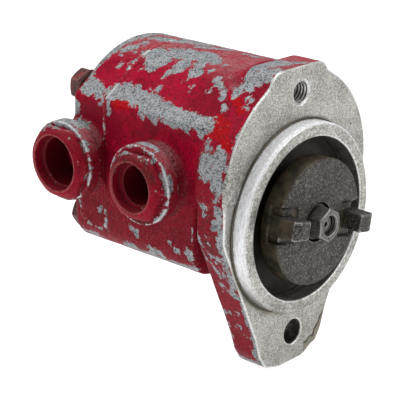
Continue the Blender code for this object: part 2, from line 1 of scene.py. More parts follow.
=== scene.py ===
"""Hydraulic gear pump: a worn, red-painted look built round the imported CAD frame.

Lengths are millimetres until a mesh is made; Blender's units are metres.
Distance fields on a lattice give each casting and fitting its rounded, filleted skin.
"""
import math
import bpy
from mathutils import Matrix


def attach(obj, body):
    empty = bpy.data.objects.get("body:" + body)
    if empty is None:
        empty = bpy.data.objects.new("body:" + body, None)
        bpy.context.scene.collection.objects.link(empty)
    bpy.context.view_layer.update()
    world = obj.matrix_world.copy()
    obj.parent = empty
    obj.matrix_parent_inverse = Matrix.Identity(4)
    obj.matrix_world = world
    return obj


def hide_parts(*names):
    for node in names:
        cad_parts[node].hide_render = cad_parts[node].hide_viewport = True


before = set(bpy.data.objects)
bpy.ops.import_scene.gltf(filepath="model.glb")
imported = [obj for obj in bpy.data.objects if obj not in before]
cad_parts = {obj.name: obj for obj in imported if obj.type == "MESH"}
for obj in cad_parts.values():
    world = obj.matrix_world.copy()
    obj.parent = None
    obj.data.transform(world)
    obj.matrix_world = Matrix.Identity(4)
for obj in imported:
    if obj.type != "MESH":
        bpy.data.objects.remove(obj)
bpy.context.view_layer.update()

from types import SimpleNamespace

import bpy
import numpy as np
import openvdb
from mathutils import Matrix, Vector

MM = 0.001
SLOPE_45 = 0.707

# flange, pilot and recess
PILOT_R = 41.275
PILOT_H = 6.5
RECESS_R = 35.25
RECESS_FLOOR = 4
FLANGE_T = 15
FLANGE_R = 46.1
EAR_BOTTOM = -67
LOBE_TOP = 64.4
BOLT_Z = 53.2
TAPPED_END = 13.5
THREAD_LINER_R = 5
THROUGH_R = 5.58

# casting section
CROWN_Z = 16.6
CROWN_R = 45.9
PAD_X = -41
PAD_TOP = 43.5
CREASE_ANGLE = 134.5
CORNER_X = 29
CORNER_Z = -11.8
CORNER_R = 12
BELLY_R = 30
SHOULDER_START = 13
SHOULDER_END = 22
SHOULDER_LOW = -24

# housing interior
CHAMBER_Y = 17
CHAMBER_R = 19.8
CENTRES = 33
JOINT_Y = 72.3
COVER_Y0 = 72.6
COVER_Y1 = 92
SEAL_POCKET_R = 15.9
SEAL_POCKET_Y = 12
SHAFT_HOLE_R = 9.65
GALLERY_X = 15
GALLERY_R = 6.8

# ports: the boss's collar and bores, then the hexagon fitting's across flats, lip, seat and bore
PORT_Z = 16.8
PRESSURE = SimpleNamespace(y=40.3, rim_r=17, thread_r=10, passage_r=7.4, passage_end=7,
                           flats=27, lip_r=11.9, seat_r=10.4, bore_r=8.2, soil=0.9)
SUCTION = SimpleNamespace(y=85.8, rim_r=17.5, thread_r=12, passage_r=8.2, passage_end=17,
                          flats=30, lip_r=13.3, seat_r=12, bore_r=10.4, soil=0.35)
COLLAR_X = (-53.5, -47)
LIP_X = -58.5

# drive end
DOG_R = 27.2
DOG_Y = (-11.6, -2.6)
DOG_ANGLE = math.radians(10.3)
TANG_U = (17.4, 26.9)
TANG_W = 8
TANG_FRONT = -20.8
NOTCH_IN = 14.5
NOTCH_W = 15
NOTCH_FLOOR = -10.4
RELIEF_IN = 23.9
RELIEF_FLOOR = -6.4
WASHER_FLOOR = -8.6
HUB_R = 13.5
NUT_FLATS = 12.8
NUT_Y = (-17.7, -10.7)
NUT_ANGLE = 29
JOURNAL_R = 8.75
SEAT_R = 7.9
THREAD_R = 4
THREAD_END = -15.6
NUT_PITCH = 1.25
KEY = (-2.3, 2.3)

# fasteners
SCREW_X = 29.2
SCREW_Z = (43.6, -14.6)
SCREW_R = 4
SCREW_FLATS = 13
HEAD_Y = (94.2, 99.6)
WASHER = ((4.3, 92.35), (7.1, 92.35), (7.35, 92.6), (7.35, 93.6), (7.1, 93.85), (4.3, 93.85))
DOWELS = ((-34.5, 31), (34.5, 2))
DOWEL_R = 3.3

# how finely the skins are made: arc steps in degrees, lattice cells and casting waviness in mm
ARC_STEP = 4
CAST_CELL = 0.5
CAST_WAVE = 0.13


# ---- outlines in the XZ plane

def sweep(start, end, steps):
    """Angles in radians from start to end, given in degrees."""
    return [math.radians(start + (end - start) * i / steps) for i in range(steps + 1)]


def arc(cx, cz, radius, *turn):
    return [(cx + radius * math.cos(a), cz + radius * math.sin(a)) for a in sweep(*turn)]


def without_repeats(outline):
    kept = []
    for point in outline:
        if not kept or math.dist(point, kept[-1]) > 0.01:
            kept.append(point)
    if math.dist(kept[0], kept[-1]) < 0.01:
        kept.pop()
    return kept


def rounded(corners):
    """A closed outline whose (x, z, radius) corners are replaced by arcs."""
    outline = []
    for i, (x, z, radius) in enumerate(corners):
        here = Vector((x, z))
        if radius == 0:
            outline.append((x, z))
            continue
        to_last = (Vector(corners[i - 1][:2]) - here).normalized()
        to_next = (Vector(corners[(i + 1) % len(corners)][:2]) - here).normalized()
        half = to_last.angle(to_next) / 2
        reach = radius / math.tan(half)
        centre = here + (to_last + to_next).normalized() * (radius / math.sin(half))
        first = here + to_last * reach - centre
        turn = math.degrees((here + to_next * reach - centre).angle_signed(first))
        start = math.degrees(math.atan2(first.y, first.x))
        outline += arc(centre.x, centre.y, radius, start, start + turn, max(2, round(abs(turn) / ARC_STEP)))
    return without_repeats(outline)


def hexagon(flats, turn=0):
    return arc(0, 0, flats / math.sqrt(3), turn, turn + 360, 6)[:-1]


def figure_eight(radius):
    dip = math.degrees(math.asin(CENTRES / 2 / radius))
    upper = arc(0, CENTRES, radius, -dip, 180 + dip, 60)
    return without_repeats(upper + arc(0, 0, radius, 180 - dip, 360 + dip, 60))


def casting_section():
    """Crowned top, flat port pad on the -X side with a sloping ledge above it, rounded corners."""
    outline = arc(0, CROWN_Z, CROWN_R, -11.3, CREASE_ANGLE, 90)
    outline += [(PAD_X + 1.6, PAD_TOP + 1), (PAD_X + 0.3, PAD_TOP - 0.6), (PAD_X, PAD_TOP - 2.5)]
    outline += arc(-CORNER_X, CORNER_Z, CORNER_R, 180, 257, 24)
    outline += arc(0, 0, BELLY_R, 257, 283, 12)
    outline += arc(CORNER_X, CORNER_Z, CORNER_R, 283, 348.7, 20)
    return without_repeats(outline)


def flange_section():
    """Round crown with a squared lobe on top and a tapering ear below."""
    lobe = rounded([(21.5, 53, 0), (18.6, 57.5, 2), (18.6, LOBE_TOP, 8),
                    (-20.2, LOBE_TOP, 8), (-20.2, 57, 2), (-23, 53, 0)])
    lobe = [(x, z) for x, z in lobe if math.dist((x, z), (0, CROWN_Z)) > FLANGE_R + 0.4]
    left = [(-FLANGE_R, -1.5, 12), (-24.4, -50, 14), (-21.8, -58.5, 5), (-17.8, -64.6, 4)]
    left.append((-9, EAR_BOTTOM, 12))
    right = [(-x, z, r) for x, z, r in reversed(left)]
    ear = rounded([(-FLANGE_R, CROWN_Z, 0)] + left + right + [(FLANGE_R, CROWN_Z, 0)])
    crown_right = arc(0, CROWN_Z, FLANGE_R, 0, 61, 30)
    crown_left = arc(0, CROWN_Z, FLANGE_R, 121, 180, 30)
    return without_repeats(crown_right + lobe + crown_left + ear)


def shoulder_section():
    """The flange's outline without its lobe and ear, where the casting grows out of it."""
    kept = []
    for x, z in flange_section():
        if z > SHOULDER_LOW and math.dist((x, z), (0, CROWN_Z)) < FLANGE_R + 0.3:
            kept.append((x, z))
    return kept


# ---- distance fields

def lattice(low, high, cell):
    """Three broadcasting axes of sample positions."""
    axes = [np.arange(a, b + cell, cell, dtype=np.float32) for a, b in zip(low, high)]
    return np.meshgrid(*axes, indexing="ij", sparse=True)


def outside(outline, u, v):
    """Signed distance from (u, v) to a closed outline, negative inside."""
    u, v = np.broadcast_arrays(u, v)
    nearest = np.full(u.shape, 1e9, np.float32)
    inside = np.zeros(u.shape, bool)
    for (x0, z0), (x1, z1) in zip(outline, outline[1:] + outline[:1]):
        dx, dz = x1 - x0, z1 - z0
        along = np.clip(((u - x0) * dx + (v - z0) * dz) / (dx * dx + dz * dz), 0, 1)
        nearest = np.minimum(nearest, np.hypot(u - x0 - along * dx, v - z0 - along * dz))
        if dz:
            inside ^= ((z0 > v) != (z1 > v)) & (u < x0 + (v - z0) * dx / dz)
    return np.where(inside, -nearest, nearest)


def union(a, b, fillet=0):
    corner = np.hypot(np.maximum(fillet - a, 0), np.maximum(fillet - b, 0))
    return np.maximum(fillet, np.minimum(a, b)) - corner


def meet(a, b, edge=0):
    corner = np.hypot(np.maximum(edge + a, 0), np.maximum(edge + b, 0))
    return np.minimum(-edge, np.maximum(a, b)) + corner


def carve(a, tool, edge=0):
    return meet(a, -tool, edge)


def drill(field, wall, ends, edge=0):
    """Carve a hole with these distances from its wall and its ends."""
    return carve(field, meet(wall, ends), edge)


def slab(value, low, high):
    return np.abs(value - (low + high) / 2) - (high - low) / 2


def fade(low, high, value):
    """Smooth step from 0 at low to 1 at high."""
    t = np.clip((value - low) / (high - low), 0, 1)
    return t * t * (3 - 2 * t)


def zigzag(phase):
    """Triangle wave from 0 to 1 with period 1."""
    return np.abs(2 * (phase - np.floor(phase)) - 1)


# ---- skins

def value_noise(points, size, seed):
    """Smooth noise from -1 to 1 whose features are about size mm across."""
    count = 32
    table = np.random.default_rng(seed).uniform(-1, 1, (count, count, count))
    cells = points / size + 500
    base = np.floor(cells).astype(int)
    t = cells - base
    t = t * t * (3 - 2 * t)
    total = 0
    for corner in range(8):
        offset = np.array([corner >> 2 & 1, corner >> 1 & 1, corner & 1])
        weight = np.where(offset, t, 1 - t).prod(axis=1)
        index = (base + offset) % count
        total = total + weight * table[index[:, 0], index[:, 1], index[:, 2]]
    return total


def mesh_arrays(field, low, cell):
    """Vertices in mm and outward-facing quads of a field's zero surface."""
    grid = openvdb.FloatGrid(3 * cell)
    grid.copyFromArray(np.ascontiguousarray(np.clip(field, -3 * cell, 3 * cell), np.float32))
    grid.gridClass = openvdb.GridClass.LEVEL_SET
    points, quads = grid.convertToQuads(0)
    points = points * cell + np.array(low)
    quads = np.asarray(quads, np.int64)
    return points, facing_out(points, quads)


def facing_out(points, quads):
    """The quads, turned round if their surface is inside out."""
    a, b, c = (points[quads[:, i]] for i in range(3))
    return quads[:, ::-1] if np.einsum("ij,ij->", a, np.cross(b, c)) < 0 else quads


def set_positions(mesh, points):
    mesh.vertices.foreach_set("co", (points * MM).astype(np.float32).ravel())


def make_mesh(name, points, quads):
    mesh = bpy.data.meshes.new(name)
    mesh.vertices.add(len(points))
    set_positions(mesh, points)
    mesh.loops.add(quads.size)
    mesh.loops.foreach_set("vertex_index", quads.astype(np.int32).ravel())
    mesh.polygons.add(len(quads))
    mesh.polygons.foreach_set("loop_start", np.arange(0, quads.size, quads.shape[1], dtype=np.int32))
    mesh.update(calc_edges=True)
    mesh.shade_smooth()
    return mesh


def add_object(name, data):
    obj = bpy.data.objects.new(name, data)
    bpy.context.scene.collection.objects.link(obj)
    return obj


def vertex_normals(mesh):
    normals = np.empty(len(mesh.vertices) * 3, np.float32)
    mesh.vertex_normals.foreach_get("vector", normals)
    return normals.reshape(-1, 3)


def neighbour_mean(edges, values):
    """Each vertex's mean of its neighbours' values."""
    count = len(values)
    a, b = edges[:, 0], edges[:, 1]
    weight = np.bincount(a, minlength=count) + np.bincount(b, minlength=count)
    columns = []
    for column in values.reshape(count, -1).T:
        total = np.bincount(a, column[b], count) + np.bincount(b, column[a], count)
        columns.append(total / np.maximum(weight, 1))
    return np.stack(columns, axis=1).reshape(values.shape)


def convexity(mesh, points, cell):
    """Curvature per mm at each vertex: positive on outside edges, negative in corners."""
    edges = np.empty(len(mesh.edges) * 2, np.int32)
    mesh.edges.foreach_get("vertices", edges)
    edges = edges.reshape(-1, 2)
    lap = neighbour_mean(edges, points) - points
    curve = -4 * np.einsum("ij,ij->i", lap, vertex_normals(mesh)) / cell ** 2
    for _ in range(2):
        curve = 0.5 * curve + 0.5 * neighbour_mean(edges, curve)
    return curve


def store(mesh, **fields):
    """Keep a value per vertex on the mesh, for its material to read."""
    for name, values in fields.items():
        layer = mesh.attributes.new(name, "FLOAT", "POINT")
        layer.data.foreach_set("value", np.ascontiguousarray(values, np.float32))


def skin(name, shape, low, high, cell, roughness=0, rough_zone=None):
    """An object, its points and their curvature from a distance field; roughness is its waviness in mm."""
    points, quads = mesh_arrays(shape(*lattice(low, high, cell)), low, cell)
    mesh = make_mesh(name, points, quads)
    curve = convexity(mesh, points, cell)
    if roughness:
        wave = 0.65 * value_noise(points, 5, 3) + 0.35 * value_noise(points, 1.9, 4)
        zone = rough_zone(points) if rough_zone else 1
        points = points + vertex_normals(mesh) * (wave * roughness * zone)[:, None]
        set_positions(mesh, points)
        mesh.update()
    store(mesh, convex=curve)
    return add_object(name, mesh), points, curve


def around(half, y0, y1, cx=0, cz=0):
    """The low and high corners of a square box round an axis parallel to Y."""
    return (cx - half, y0, cz - half), (cx + half, y1, cz + half)


def finished(obj, mat):
    obj.data.materials.append(mat)
    return obj


def lathe(name, profile, centre):
    """A closed ring turned about an axis parallel to Y from (radius, y) points."""
    cx, cz = centre
    points, quads = [], []
    steps, count = 64, len(profile)
    for i in range(steps):
        a = 2 * math.pi * i / steps
        points += [(cx + r * math.cos(a), y, cz + r * math.sin(a)) for r, y in profile]
        for j in range(count):
            k, n = (j + 1) % count, (i + 1) % steps
            quads.append((i * count + j, i * count + k, n * count + k, n * count + j))
    points = np.array(points)
    mesh = make_mesh(name, points, facing_out(points, np.array(quads)))
    mesh.set_sharp_from_angle(angle=math.radians(50))
    return add_object(name, mesh)


# ---- wear on the paint
# each stroke is its half width and the places it runs through; on the crown a place is (y, degrees)

def crown(y, degrees):
    """A point on the round top of the casting."""
    a = math.radians(degrees)
    return (CROWN_R * math.cos(a), y, CROWN_Z + CROWN_R * math.sin(a))


def collar_arc(port, radius, start, end, x=COLLAR_X[0]):
    """Points round a port's axis; 0 degrees points to the drive end, 90 up."""
    return [(x, port.y - radius * math.cos(a), PORT_Z + radius * math.sin(a)) for a in sweep(start, end, 6)]


def polyline_distance(points, path):
    path = np.array(path, float)
    if len(path) == 1:
        return np.linalg.norm(points - path[0], axis=1)
    nearest = np.full(len(points), 1e9)
    for a, b in zip(path, path[1:]):
        run = b - a
        along = np.clip((points - a) @ run / (run @ run), 0, 1)
        nearest = np.minimum(nearest, np.linalg.norm(points - a - along[:, None] * run, axis=1))
    return nearest


def worn(points, strokes):
    """How far inside a worn area each point lies, in mm; negative outside."""
    depth = np.full(len(points), -8)
    for radius, *path in strokes:
        depth = np.maximum(depth, radius - polyline_distance(points, path))
    return depth


CROWN_WEAR = [
    (2.6, (91.5, 133), (91.5, 122)), (3.9, (91.2, 120), (90.5, 106), (89, 95), (88, 84)),
    (4.4, (89, 80), (78, 73), (70, 77), (60, 70), (50, 74)),
    (4, (47, 71), (38, 67), (30, 73), (18, 70)), (2, (85, 111), (81, 106), (80, 101)),
    (3.4, (80, 92), (68, 86), (58, 82)), (2.2, (56, 90), (50, 86), (44, 82)), (1.2, (34, 84), (26, 84)),
    (1, (73.5, 124), (73.5, 116), (74, 108)), (4, (71, 109), (58, 105), (46, 100)),
    (3.2, (62, 102), (54, 100)), (3.2, (67, 112), (62, 118.5)),
    (3.6, (60, 112)), (3, (50, 106), (49, 114)), (1.8, (49, 116), (52, 121)),
    (3, (44, 104), (41, 111), (40, 116)), (3.2, (44, 99), (37, 103)), (1.4, (27, 117), (22, 122)),
    (1.7, (19, 125), (17.5, 127.5)), (1.2, (15, 132), (13, 134)),
]
SPOTS = [
    (1.5, (51, 131)), (1.3, (52.5, 125)), (1.2, (36, 126)), (1.5, (79, 124)), (1.2, (67, 123)),
    (1.4, (34, 112)), (1.3, (26, 125)), (1.2, (31, 104)), (0.9, (22, 112)), (1.4, (5, 124)),
    (1.3, (4, 130)), (1, (78, 112)), (0.8, (69, 130)), (1, (12, 119)), (1, (83, 116)),
    (0.8, (41, 123)),
]
LEDGE_WEAR = [
    (4.2, (-36.5, 87, 46.8), (-37, 83, 46.4)), (2.6, (-38.5, 78, 45)),
    (1.5, (-39.5, 74.5, 43), (-38.2, 74.5, 46)),
    (4.6, (-36, 71, 46.6), (-34.5, 66, 47.6), (-35.5, 57, 47), (-37, 48, 45.6)),
    (4, (-37, 48, 45.6), (-38, 38, 44.8), (-38.3, 27, 44.4), (-38.6, 17, 44)),
    (1.3, (-40.8, 70.5, 43), (-41, 70, 39.5)), (1.1, (-40.6, 52, 43.6), (-41, 50.5, 41)),
    (2, (-40.8, 46, 43.5), (-41, 44, 41)), (2.2, (-41, 38, 43), (-41, 31, 42)),
    (1.9, (-41, 28, 42.6), (-41, 24, 42)), (1.9, (-41, 19, 42.5), (-41, 17.5, 41)),
    (1.3, (-41, 17, 42), (-41.6, 14, 39), (-42.2, 12, 35)), (1, (-39.5, 15, 42)),
    (0.7, (-38.5, 11.5, 44.2)), (2.2, (-46.5, 91, 36.5), (-41, 90.5, 38.5), (-41, 90.8, 35)),
]
SHOULDER_WEAR = [
    (4.6, (-18, 15, 62), (-13, 12, 64), (-3, 9, 64.4)),
    (3.8, (-19, 7, 61.5), (-14, 3, 63.6), (-21, 10, 59)), (2.2, (-22, 14, 57), (-26, 13, 55)),
    (1.6, (-1, 8, 64.4), (5, 3, 64.4)), (3.7, (-43, 12, 31), (-44.6, 10.5, 27.6)),
    (3.6, (-42.4, 6, 34), (-43.6, 4, 31)), (3.8, (-45, 6, 28), (-45.8, 3.5, 24)),
    (0.9, (-40, 1, 38.5), (-36, 1, 44)),
    (1.7, (-46, 3, 21), (-46.1, 3, 12), (-46.1, 2, 3), (-44.5, 1.5, -6)),
    (1.5, (-44, 1.5, -6), (-41, 2, -12), (-37, 2, -22)),
    (1.2, (-37, 2, -20), (-36, 4, -25), (-34.5, 1, -29), (-36.5, 9, -23)),
    (1.3, (-34, 1, -29), (-27, 1, -44), (-24.5, 1, -50), (-21, 2, -60)),
    (1.9, (-46.2, 4, 7.5), (-46.2, 5.5, 5)), (1.15, (-46.2, 11.5, 13), (-46.4, 10.5, 10)),
    (0.7, (-46, 15, 3.5), (-45.6, 14, -3)), (0.95, (-44, 14, -7), (-43.5, 9, -8.5), (-43, 6, -9)),
    (0.5, (-43, 13, -10), (-40, 9, -16), (-37.5, 5, -21)), (0.6, (-46, 9, 1), (-45, 8, -3)),
    (0.1, (-44, 12, -5), (-39.5, 6, -15)), (0, (-42, 13, -9), (-38, 8, -19)),
    (0.2, (-41, 4, -12), (-35, 9, -26)), (1, (-29.5, 14, -39), (-30, 10, -38)), (0.9, (-31, 5, -36.5)),
    (1.5, (-29, 15, -40), (-26, 15, -50), (-22.5, 15, -58), (-18.5, 15, -63)),
    (2, (-18.5, 14, -64), (-18.8, 7, -63.5), (-19.5, 1, -63)), (0.9, (-27, 8, -45)),
    (0.8, (-25.5, 6, -49.5)), (3.5, (-8, 12, -67), (4, 4, -67), (14, 10, -66)),
]
FLANK_WEAR = [
    (0.6, (-41, 35, -10), (-41, 30, -13)), (1.1, (-41, 24, -11), (-40.8, 22.5, -14)),
    (1.6, (-40.5, 47, -15.5), (-39, 40, -18)),
    (1.9, (-38.5, 62, -19), (-37.5, 48, -20.5), (-37, 35, -21), (-38, 22, -20)),
    (0.6, (-41, 57, -8.5), (-40.7, 53, -12)), (0.7, (-41, 52.5, -10)),
    (1.2, (-38, 88, -19), (-38, 78, -19)), (0.4, (-41, 89, -5), (-40.6, 86, -12), (-40.3, 80, -15)),
    (0.5, (-40.3, 80, -15), (-40.5, 76, -14.5)), (0.1, (-41, 73, 36), (-41, 72.6, 25)),
    (0.3, (-41, 72.4, -2), (-41, 72.4, -14)), (0.2, (-41, 76, -6.5), (-41, 74.5, -4.5)),
]
FRESH_PAINT = [
    (4, (-36, 14, 46), (-38.6, 13, 42.8), (-37.5, 9, 43.8)), (3, (-39.5, 8, 41.5), (-40.4, 5, 39.4)),
    (2.6, (-27, 13, 54), (-30, 6, 51)), (2.6, (-40, 66, 43), (-39.5, 60, 44.5)), (1.6, (-40.7, 47, 43.5)),
    (3, (44, 6, 30), (45, 8, 20)),
]


def collar_wear():
    """Scuffs round the two port collars, heaviest on the upper quarter that faces the drive end."""
    scuffs = (
        (SUCTION, 0, COLLAR_X[0], (2, 60, 100), (1.5, 28, 62), (1.2, -14, 30), (0.7, -60, -50),
         (1.1, 236, 250), (0.25, 110, 230)),
        (PRESSURE, 0, COLLAR_X[0], (1.1, 74, 112), (1, 30, 74), (0.6, -120, -66), (0.9, -50, -36),
         (0.35, -34, 2), (0.6, 128, 150)),
        (SUCTION, 0, -49.5, (3, 70, 98)), (SUCTION, 2, -45, (3.2, 74, 92)),
        (PRESSURE, 0, -49.5, (2.4, 72, 100)), (PRESSURE, 1, COLLAR_X[0], (1.9, 2, 26)),
    )
    return [(width, *collar_arc(port, port.rim_r - inset, start, end, x))
            for port, inset, x, *marks in scuffs for width, start, end in marks]


def far_side_wear():
    """Knocks on the sides that face away from the ports: the same kinds of mark, placed at random."""
    draw = np.random.default_rng(21).uniform
    marks = []
    for _ in range(16):
        y, degrees = draw(8, 90), draw(-8, 74)
        marks.append([crown(y, degrees), crown(y + draw(-9, 9), degrees + draw(-9, 9)), draw(0.8, 2.8)])
    for _ in range(46):
        marks.append([crown(draw(4, 90), draw(-10, 80)), draw(0.5, 1.5)])
    for _ in range(14):
        x, y = draw(-30, 30), draw(20, 88)
        marks.append([(x, y, -27), (x + draw(-8, 8), y + draw(-12, 12), -27), draw(3.4, 5.6)])
    for _ in range(24):
        x, z = draw(-36, 38), draw(-18, 56)
        marks.append([(x, COVER_Y1, z), draw(0.5, 1.6)])
    for _ in range(7):
        x, z = draw(-30, 30), draw(-14, 50)
        marks.append([(x, COVER_Y1, z), (x + draw(-12, 12), COVER_Y1, z + draw(-9, 9)), draw(0.5, 2.4)])
    for _ in range(18):
        z = draw(-60, 40)
        x = 46 - max(0, -2 - z) * 0.45
        marks.append([(x, draw(1, 14), z), (x, draw(1, 14), z + draw(-6, 6)), draw(0.6, 2.2)])
    for _ in range(12):
        x, z = draw(-24, 24), draw(-62, -28)
        marks.append([(x, FLANGE_T, z), (x + draw(-5, 5), FLANGE_T, z + draw(-6, 6)), draw(0.6, 2.4)])
    return [(width, *path) for *path, width in marks]


def paint_wear(mesh, points, curve):
    """Store where the paint is gone, where dust with a painted sheen pales the upward faces, and where
    grime with painted shade darkens the lower -X side.
    """
    strokes = LEDGE_WEAR + SHOULDER_WEAR + FLANK_WEAR + collar_wear() + far_side_wear()
    strokes += [(width, *(crown(*spot) for spot in spots)) for width, *spots in CROWN_WEAR]
    strokes += [(0.85 * width, crown(*spot)) for width, spot in SPOTS]
    joint = np.abs(points[:, 1] - (JOINT_Y + COVER_Y0) / 2) < 2
    edge = np.where(joint, -8, np.clip(7 * (curve - 0.66), -8, 0.5))
    upward = vertex_normals(mesh)[:, 2]
    on_boss = points[:, 0] < PAD_X - 0.6
    # painted highlight: the upward flare of each port boss is paled to stand in for the overhead light's
    # sheen
    boss_dust = 0.95 * fade(0.2, 0.75, upward)
    # darker brown towards the bottom and the -X side, more on the port bosses: grime, and painted shade on
    # the less lit lower side
    soil = 0.42 * fade(32, -12, points[:, 2]) * fade(5, -15, points[:, 0])
    store(mesh, bare=np.clip(np.maximum(worn(points, strokes), edge), -8, 8),
          dust=np.where(on_boss, boss_dust, fade(0.86, 1, upward)),
          fresh=worn(points, FRESH_PAINT),
          soil=np.clip(soil + np.where(on_boss, 0.3, 0), 0, 0.75))


# ---- castings

def port_boss(x, y, z, port, inner):
    """Waist and collar of a port boss; inner is where its core ends."""
    reach = np.hypot(y - port.y, z - PORT_Z)
    waist = meet(reach - (port.rim_r - 3), slab(x, COLLAR_X[0] + 1, inner), 0.3)
    return waist, meet(reach - port.rim_r, slab(x, *COLLAR_X), 0.9)


def port_bore(field, x, y, z, port):
    """O-ring chamfer, thread and passage, one inside the other."""
    reach = np.hypot(y - port.y, z - PORT_Z)
    field = drill(field, reach - (port.thread_r + 2.6), slab(x, -60, COLLAR_X[0] + 2.5), 0.3)
    field = drill(field, reach - (port.thread_r + 0.3), slab(x, -60, -40.5))
    return drill(field, reach - port.passage_r, slab(x, -60, port.passage_end))


def gallery(x, z):
    """Distance outside the passage that joins the ports to the gears."""
    return np.hypot(x - GALLERY_X, z - CENTRES / 2) - GALLERY_R


def gear_reach(x, z):
    """Distance from the nearer gear axis."""
    return np.minimum(np.hypot(x, z), np.hypot(x, z - CENTRES))


def cross_holes(field, x, y, z, screw_r, screw_span, dowel_span):
    for sx in (-SCREW_X, SCREW_X):
        for sz in SCREW_Z:
            field = drill(field, np.hypot(x - sx, z - sz) - screw_r, slab(y, *screw_span), 0.2)
    for dx, dz in DOWELS:
        field = drill(field, np.hypot(x - dx, z - dz) - DOWEL_R, slab(y, *dowel_span), 0.2)
    return field


def worn_bevel(x, z):
    """Width in mm of the rough bevel along the lower right edge of the flange."""
    return 2.6 * fade(4, 14, x) * fade(-14, -30, z)


def body_field(x, y, z):
    section = outside(casting_section(), x, z)
    front = outside(shoulder_section(), x, z)
    flange = outside(flange_section(), x, z)
    blend = fade(SHOULDER_START, SHOULDER_END, y)
    casting = meet(front * (1 - blend) + section * blend, slab(y, 2, JOINT_Y + 0.1))
    plate = meet(meet(flange, y - FLANGE_T, 1.5), -y, 0.6)
    plate = meet(plate, (flange - y + worn_bevel(x, z)) * SLOPE_45, 0.4)
    reach = 6
    fillet = reach * np.clip((section - flange) / reach - 0.1, 0, 1)
    radial = np.hypot(x, z)
    pilot = meet(radial - PILOT_R, slab(y, -PILOT_H, 3), 0.2)
    pilot = meet(pilot, (radial - PILOT_R - PILOT_H - y + 1.1) * SLOPE_45, 0.2)
    foot_groove = meet(slab(radial, PILOT_R, PILOT_R + 0.7), y - 0.3, 0.1)
    body = carve(union(union(casting, plate, fillet), pilot), foot_groove, 0.15)
    waist, collar = port_boss(x, y, z, PRESSURE, -20)
    body = union(union(body, waist, 4.8), collar, 0.8)
    body = carve(body, meet(radial - RECESS_R, y - RECESS_FLOOR, 0.8), 0.5)
    body = drill(body, radial - SEAL_POCKET_R, y - SEAL_POCKET_Y, 0.4)
    body = drill(body, radial - SHAFT_HOLE_R, y - CHAMBER_Y - 2)
    body = drill(body, outside(figure_eight(CHAMBER_R), x, z), slab(y, CHAMBER_Y, 80), 0.2)
    body = drill(body, gallery(x, z), slab(y, 36, 80))
    body = drill(body, np.hypot(x, z - BOLT_Z) - THREAD_LINER_R - 0.05, slab(y, -9, TAPPED_END), 0.5)
    body = drill(body, np.hypot(x, z + BOLT_Z) - THROUGH_R, slab(y, -9, 40), 0.6)
    body = port_bore(body, x, y, z, PRESSURE)
    return cross_holes(body, x, y, z, SCREW_R + 0.3, (51, 80), (65.5, 80))


def cover_field(x, y, z):
    section = outside(casting_section(), x, z)
    cover = meet(meet(section, y - COVER_Y1, 2.2), COVER_Y0 - 0.1 - y)
    waist, collar = port_boss(x, y, z, SUCTION, 8)
    core = np.sqrt(np.maximum(x - 8, 0) ** 2 + (y - SUCTION.y) ** 2 + (z - PORT_Z) ** 2)
    waist = np.minimum(waist, core - (SUCTION.rim_r - 3) + np.where(x < 6, 90, 0))
    cover = union(union(cover, waist, 4.4), collar, 0.8)
    cover = np.maximum(cover, np.minimum(x + 46.9, COVER_Y0 - y))
    along = np.clip(z, 0, CENTRES)
    seal_groove = np.abs(np.hypot(x, z - along) - 24.3) - 1.5
    cover = drill(cover, seal_groove, slab(y, 60, COVER_Y0 + 2.6))
    cover = drill(cover, gallery(x, z), slab(y, 60, SUCTION.y))
    cover = port_bore(cover, x, y, z, SUCTION)
    return cross_holes(cover, x, y, z, SCREW_R + 0.4, (60, 110), (60, 79.6))


def rough_casting(points):
    """1 on as-cast skin, 0 on the machined front, the joint and the bores."""
    x, y, z = points.T
    inside = gear_reach(x, z) < CHAMBER_R + 1
    machined = (y < 1) | (np.abs(y - JOINT_Y - 0.15) < 0.5) | inside | (x < COLLAR_X[0] + 0.3)
    return np.where(machined, 0, 1)


def assign_zones(obj, points, materials, zone):
    """Give every face the material its centre falls in."""
    mesh = obj.data
    for mat in materials:
        mesh.materials.append(mat)
    corners = np.empty(len(mesh.loops), np.int32)
    mesh.loops.foreach_get("vertex_index", corners)
    centres = points[corners.reshape(-1, 4)].mean(axis=1)
    mesh.polygons.foreach_set("material_index", zone(*centres.T).astype(np.int32))


def body_zone(x, y, z):
    """0 painted, 1 machined metal."""
    radial = np.hypot(x, z)
    drive_end = (y < 0.62 + worn_bevel(x, z)) | ((radial < SEAL_POCKET_R + 22) & (y < CHAMBER_Y))
    inside = (y > CHAMBER_Y - 1) & ((gear_reach(x, z) < CHAMBER_R + 0.6) | (gallery(x, z) < 0.5))
    bolt = np.hypot(x, np.abs(z) - BOLT_Z) < THROUGH_R + 0.2
    joint = (y > JOINT_Y - 0.3) & (x > PAD_X + 1.2) & (radial < 44)
    return drive_end | inside | bolt | joint


def cover_zone(x, y, z):
    """0 painted, 1 machined joint face."""
    return (y < COVER_Y0 + 0.2) & (x > PAD_X + 1.2) & (np.hypot(x, z - CROWN_Z) < CROWN_R - 1.2)


def oil_depth(points):
    """Oil: 1 inside the recess; painted shade: 1.6 in the lower bolt hole; none on the outer faces."""
    x, y, z = points.T
    recess = fade(RECESS_R + 0.3, RECESS_R - 0.4, np.hypot(x, z)) * (y < 60)
    low_hole = fade(THROUGH_R + 0.15, THROUGH_R - 0.1, np.hypot(x, z + BOLT_Z))
    low_hole = low_hole * fade(0.2, 0.9, y)
    return np.clip(recess + fade(60, 61, y) * 0.5, 0, 1) + 1.6 * low_hole


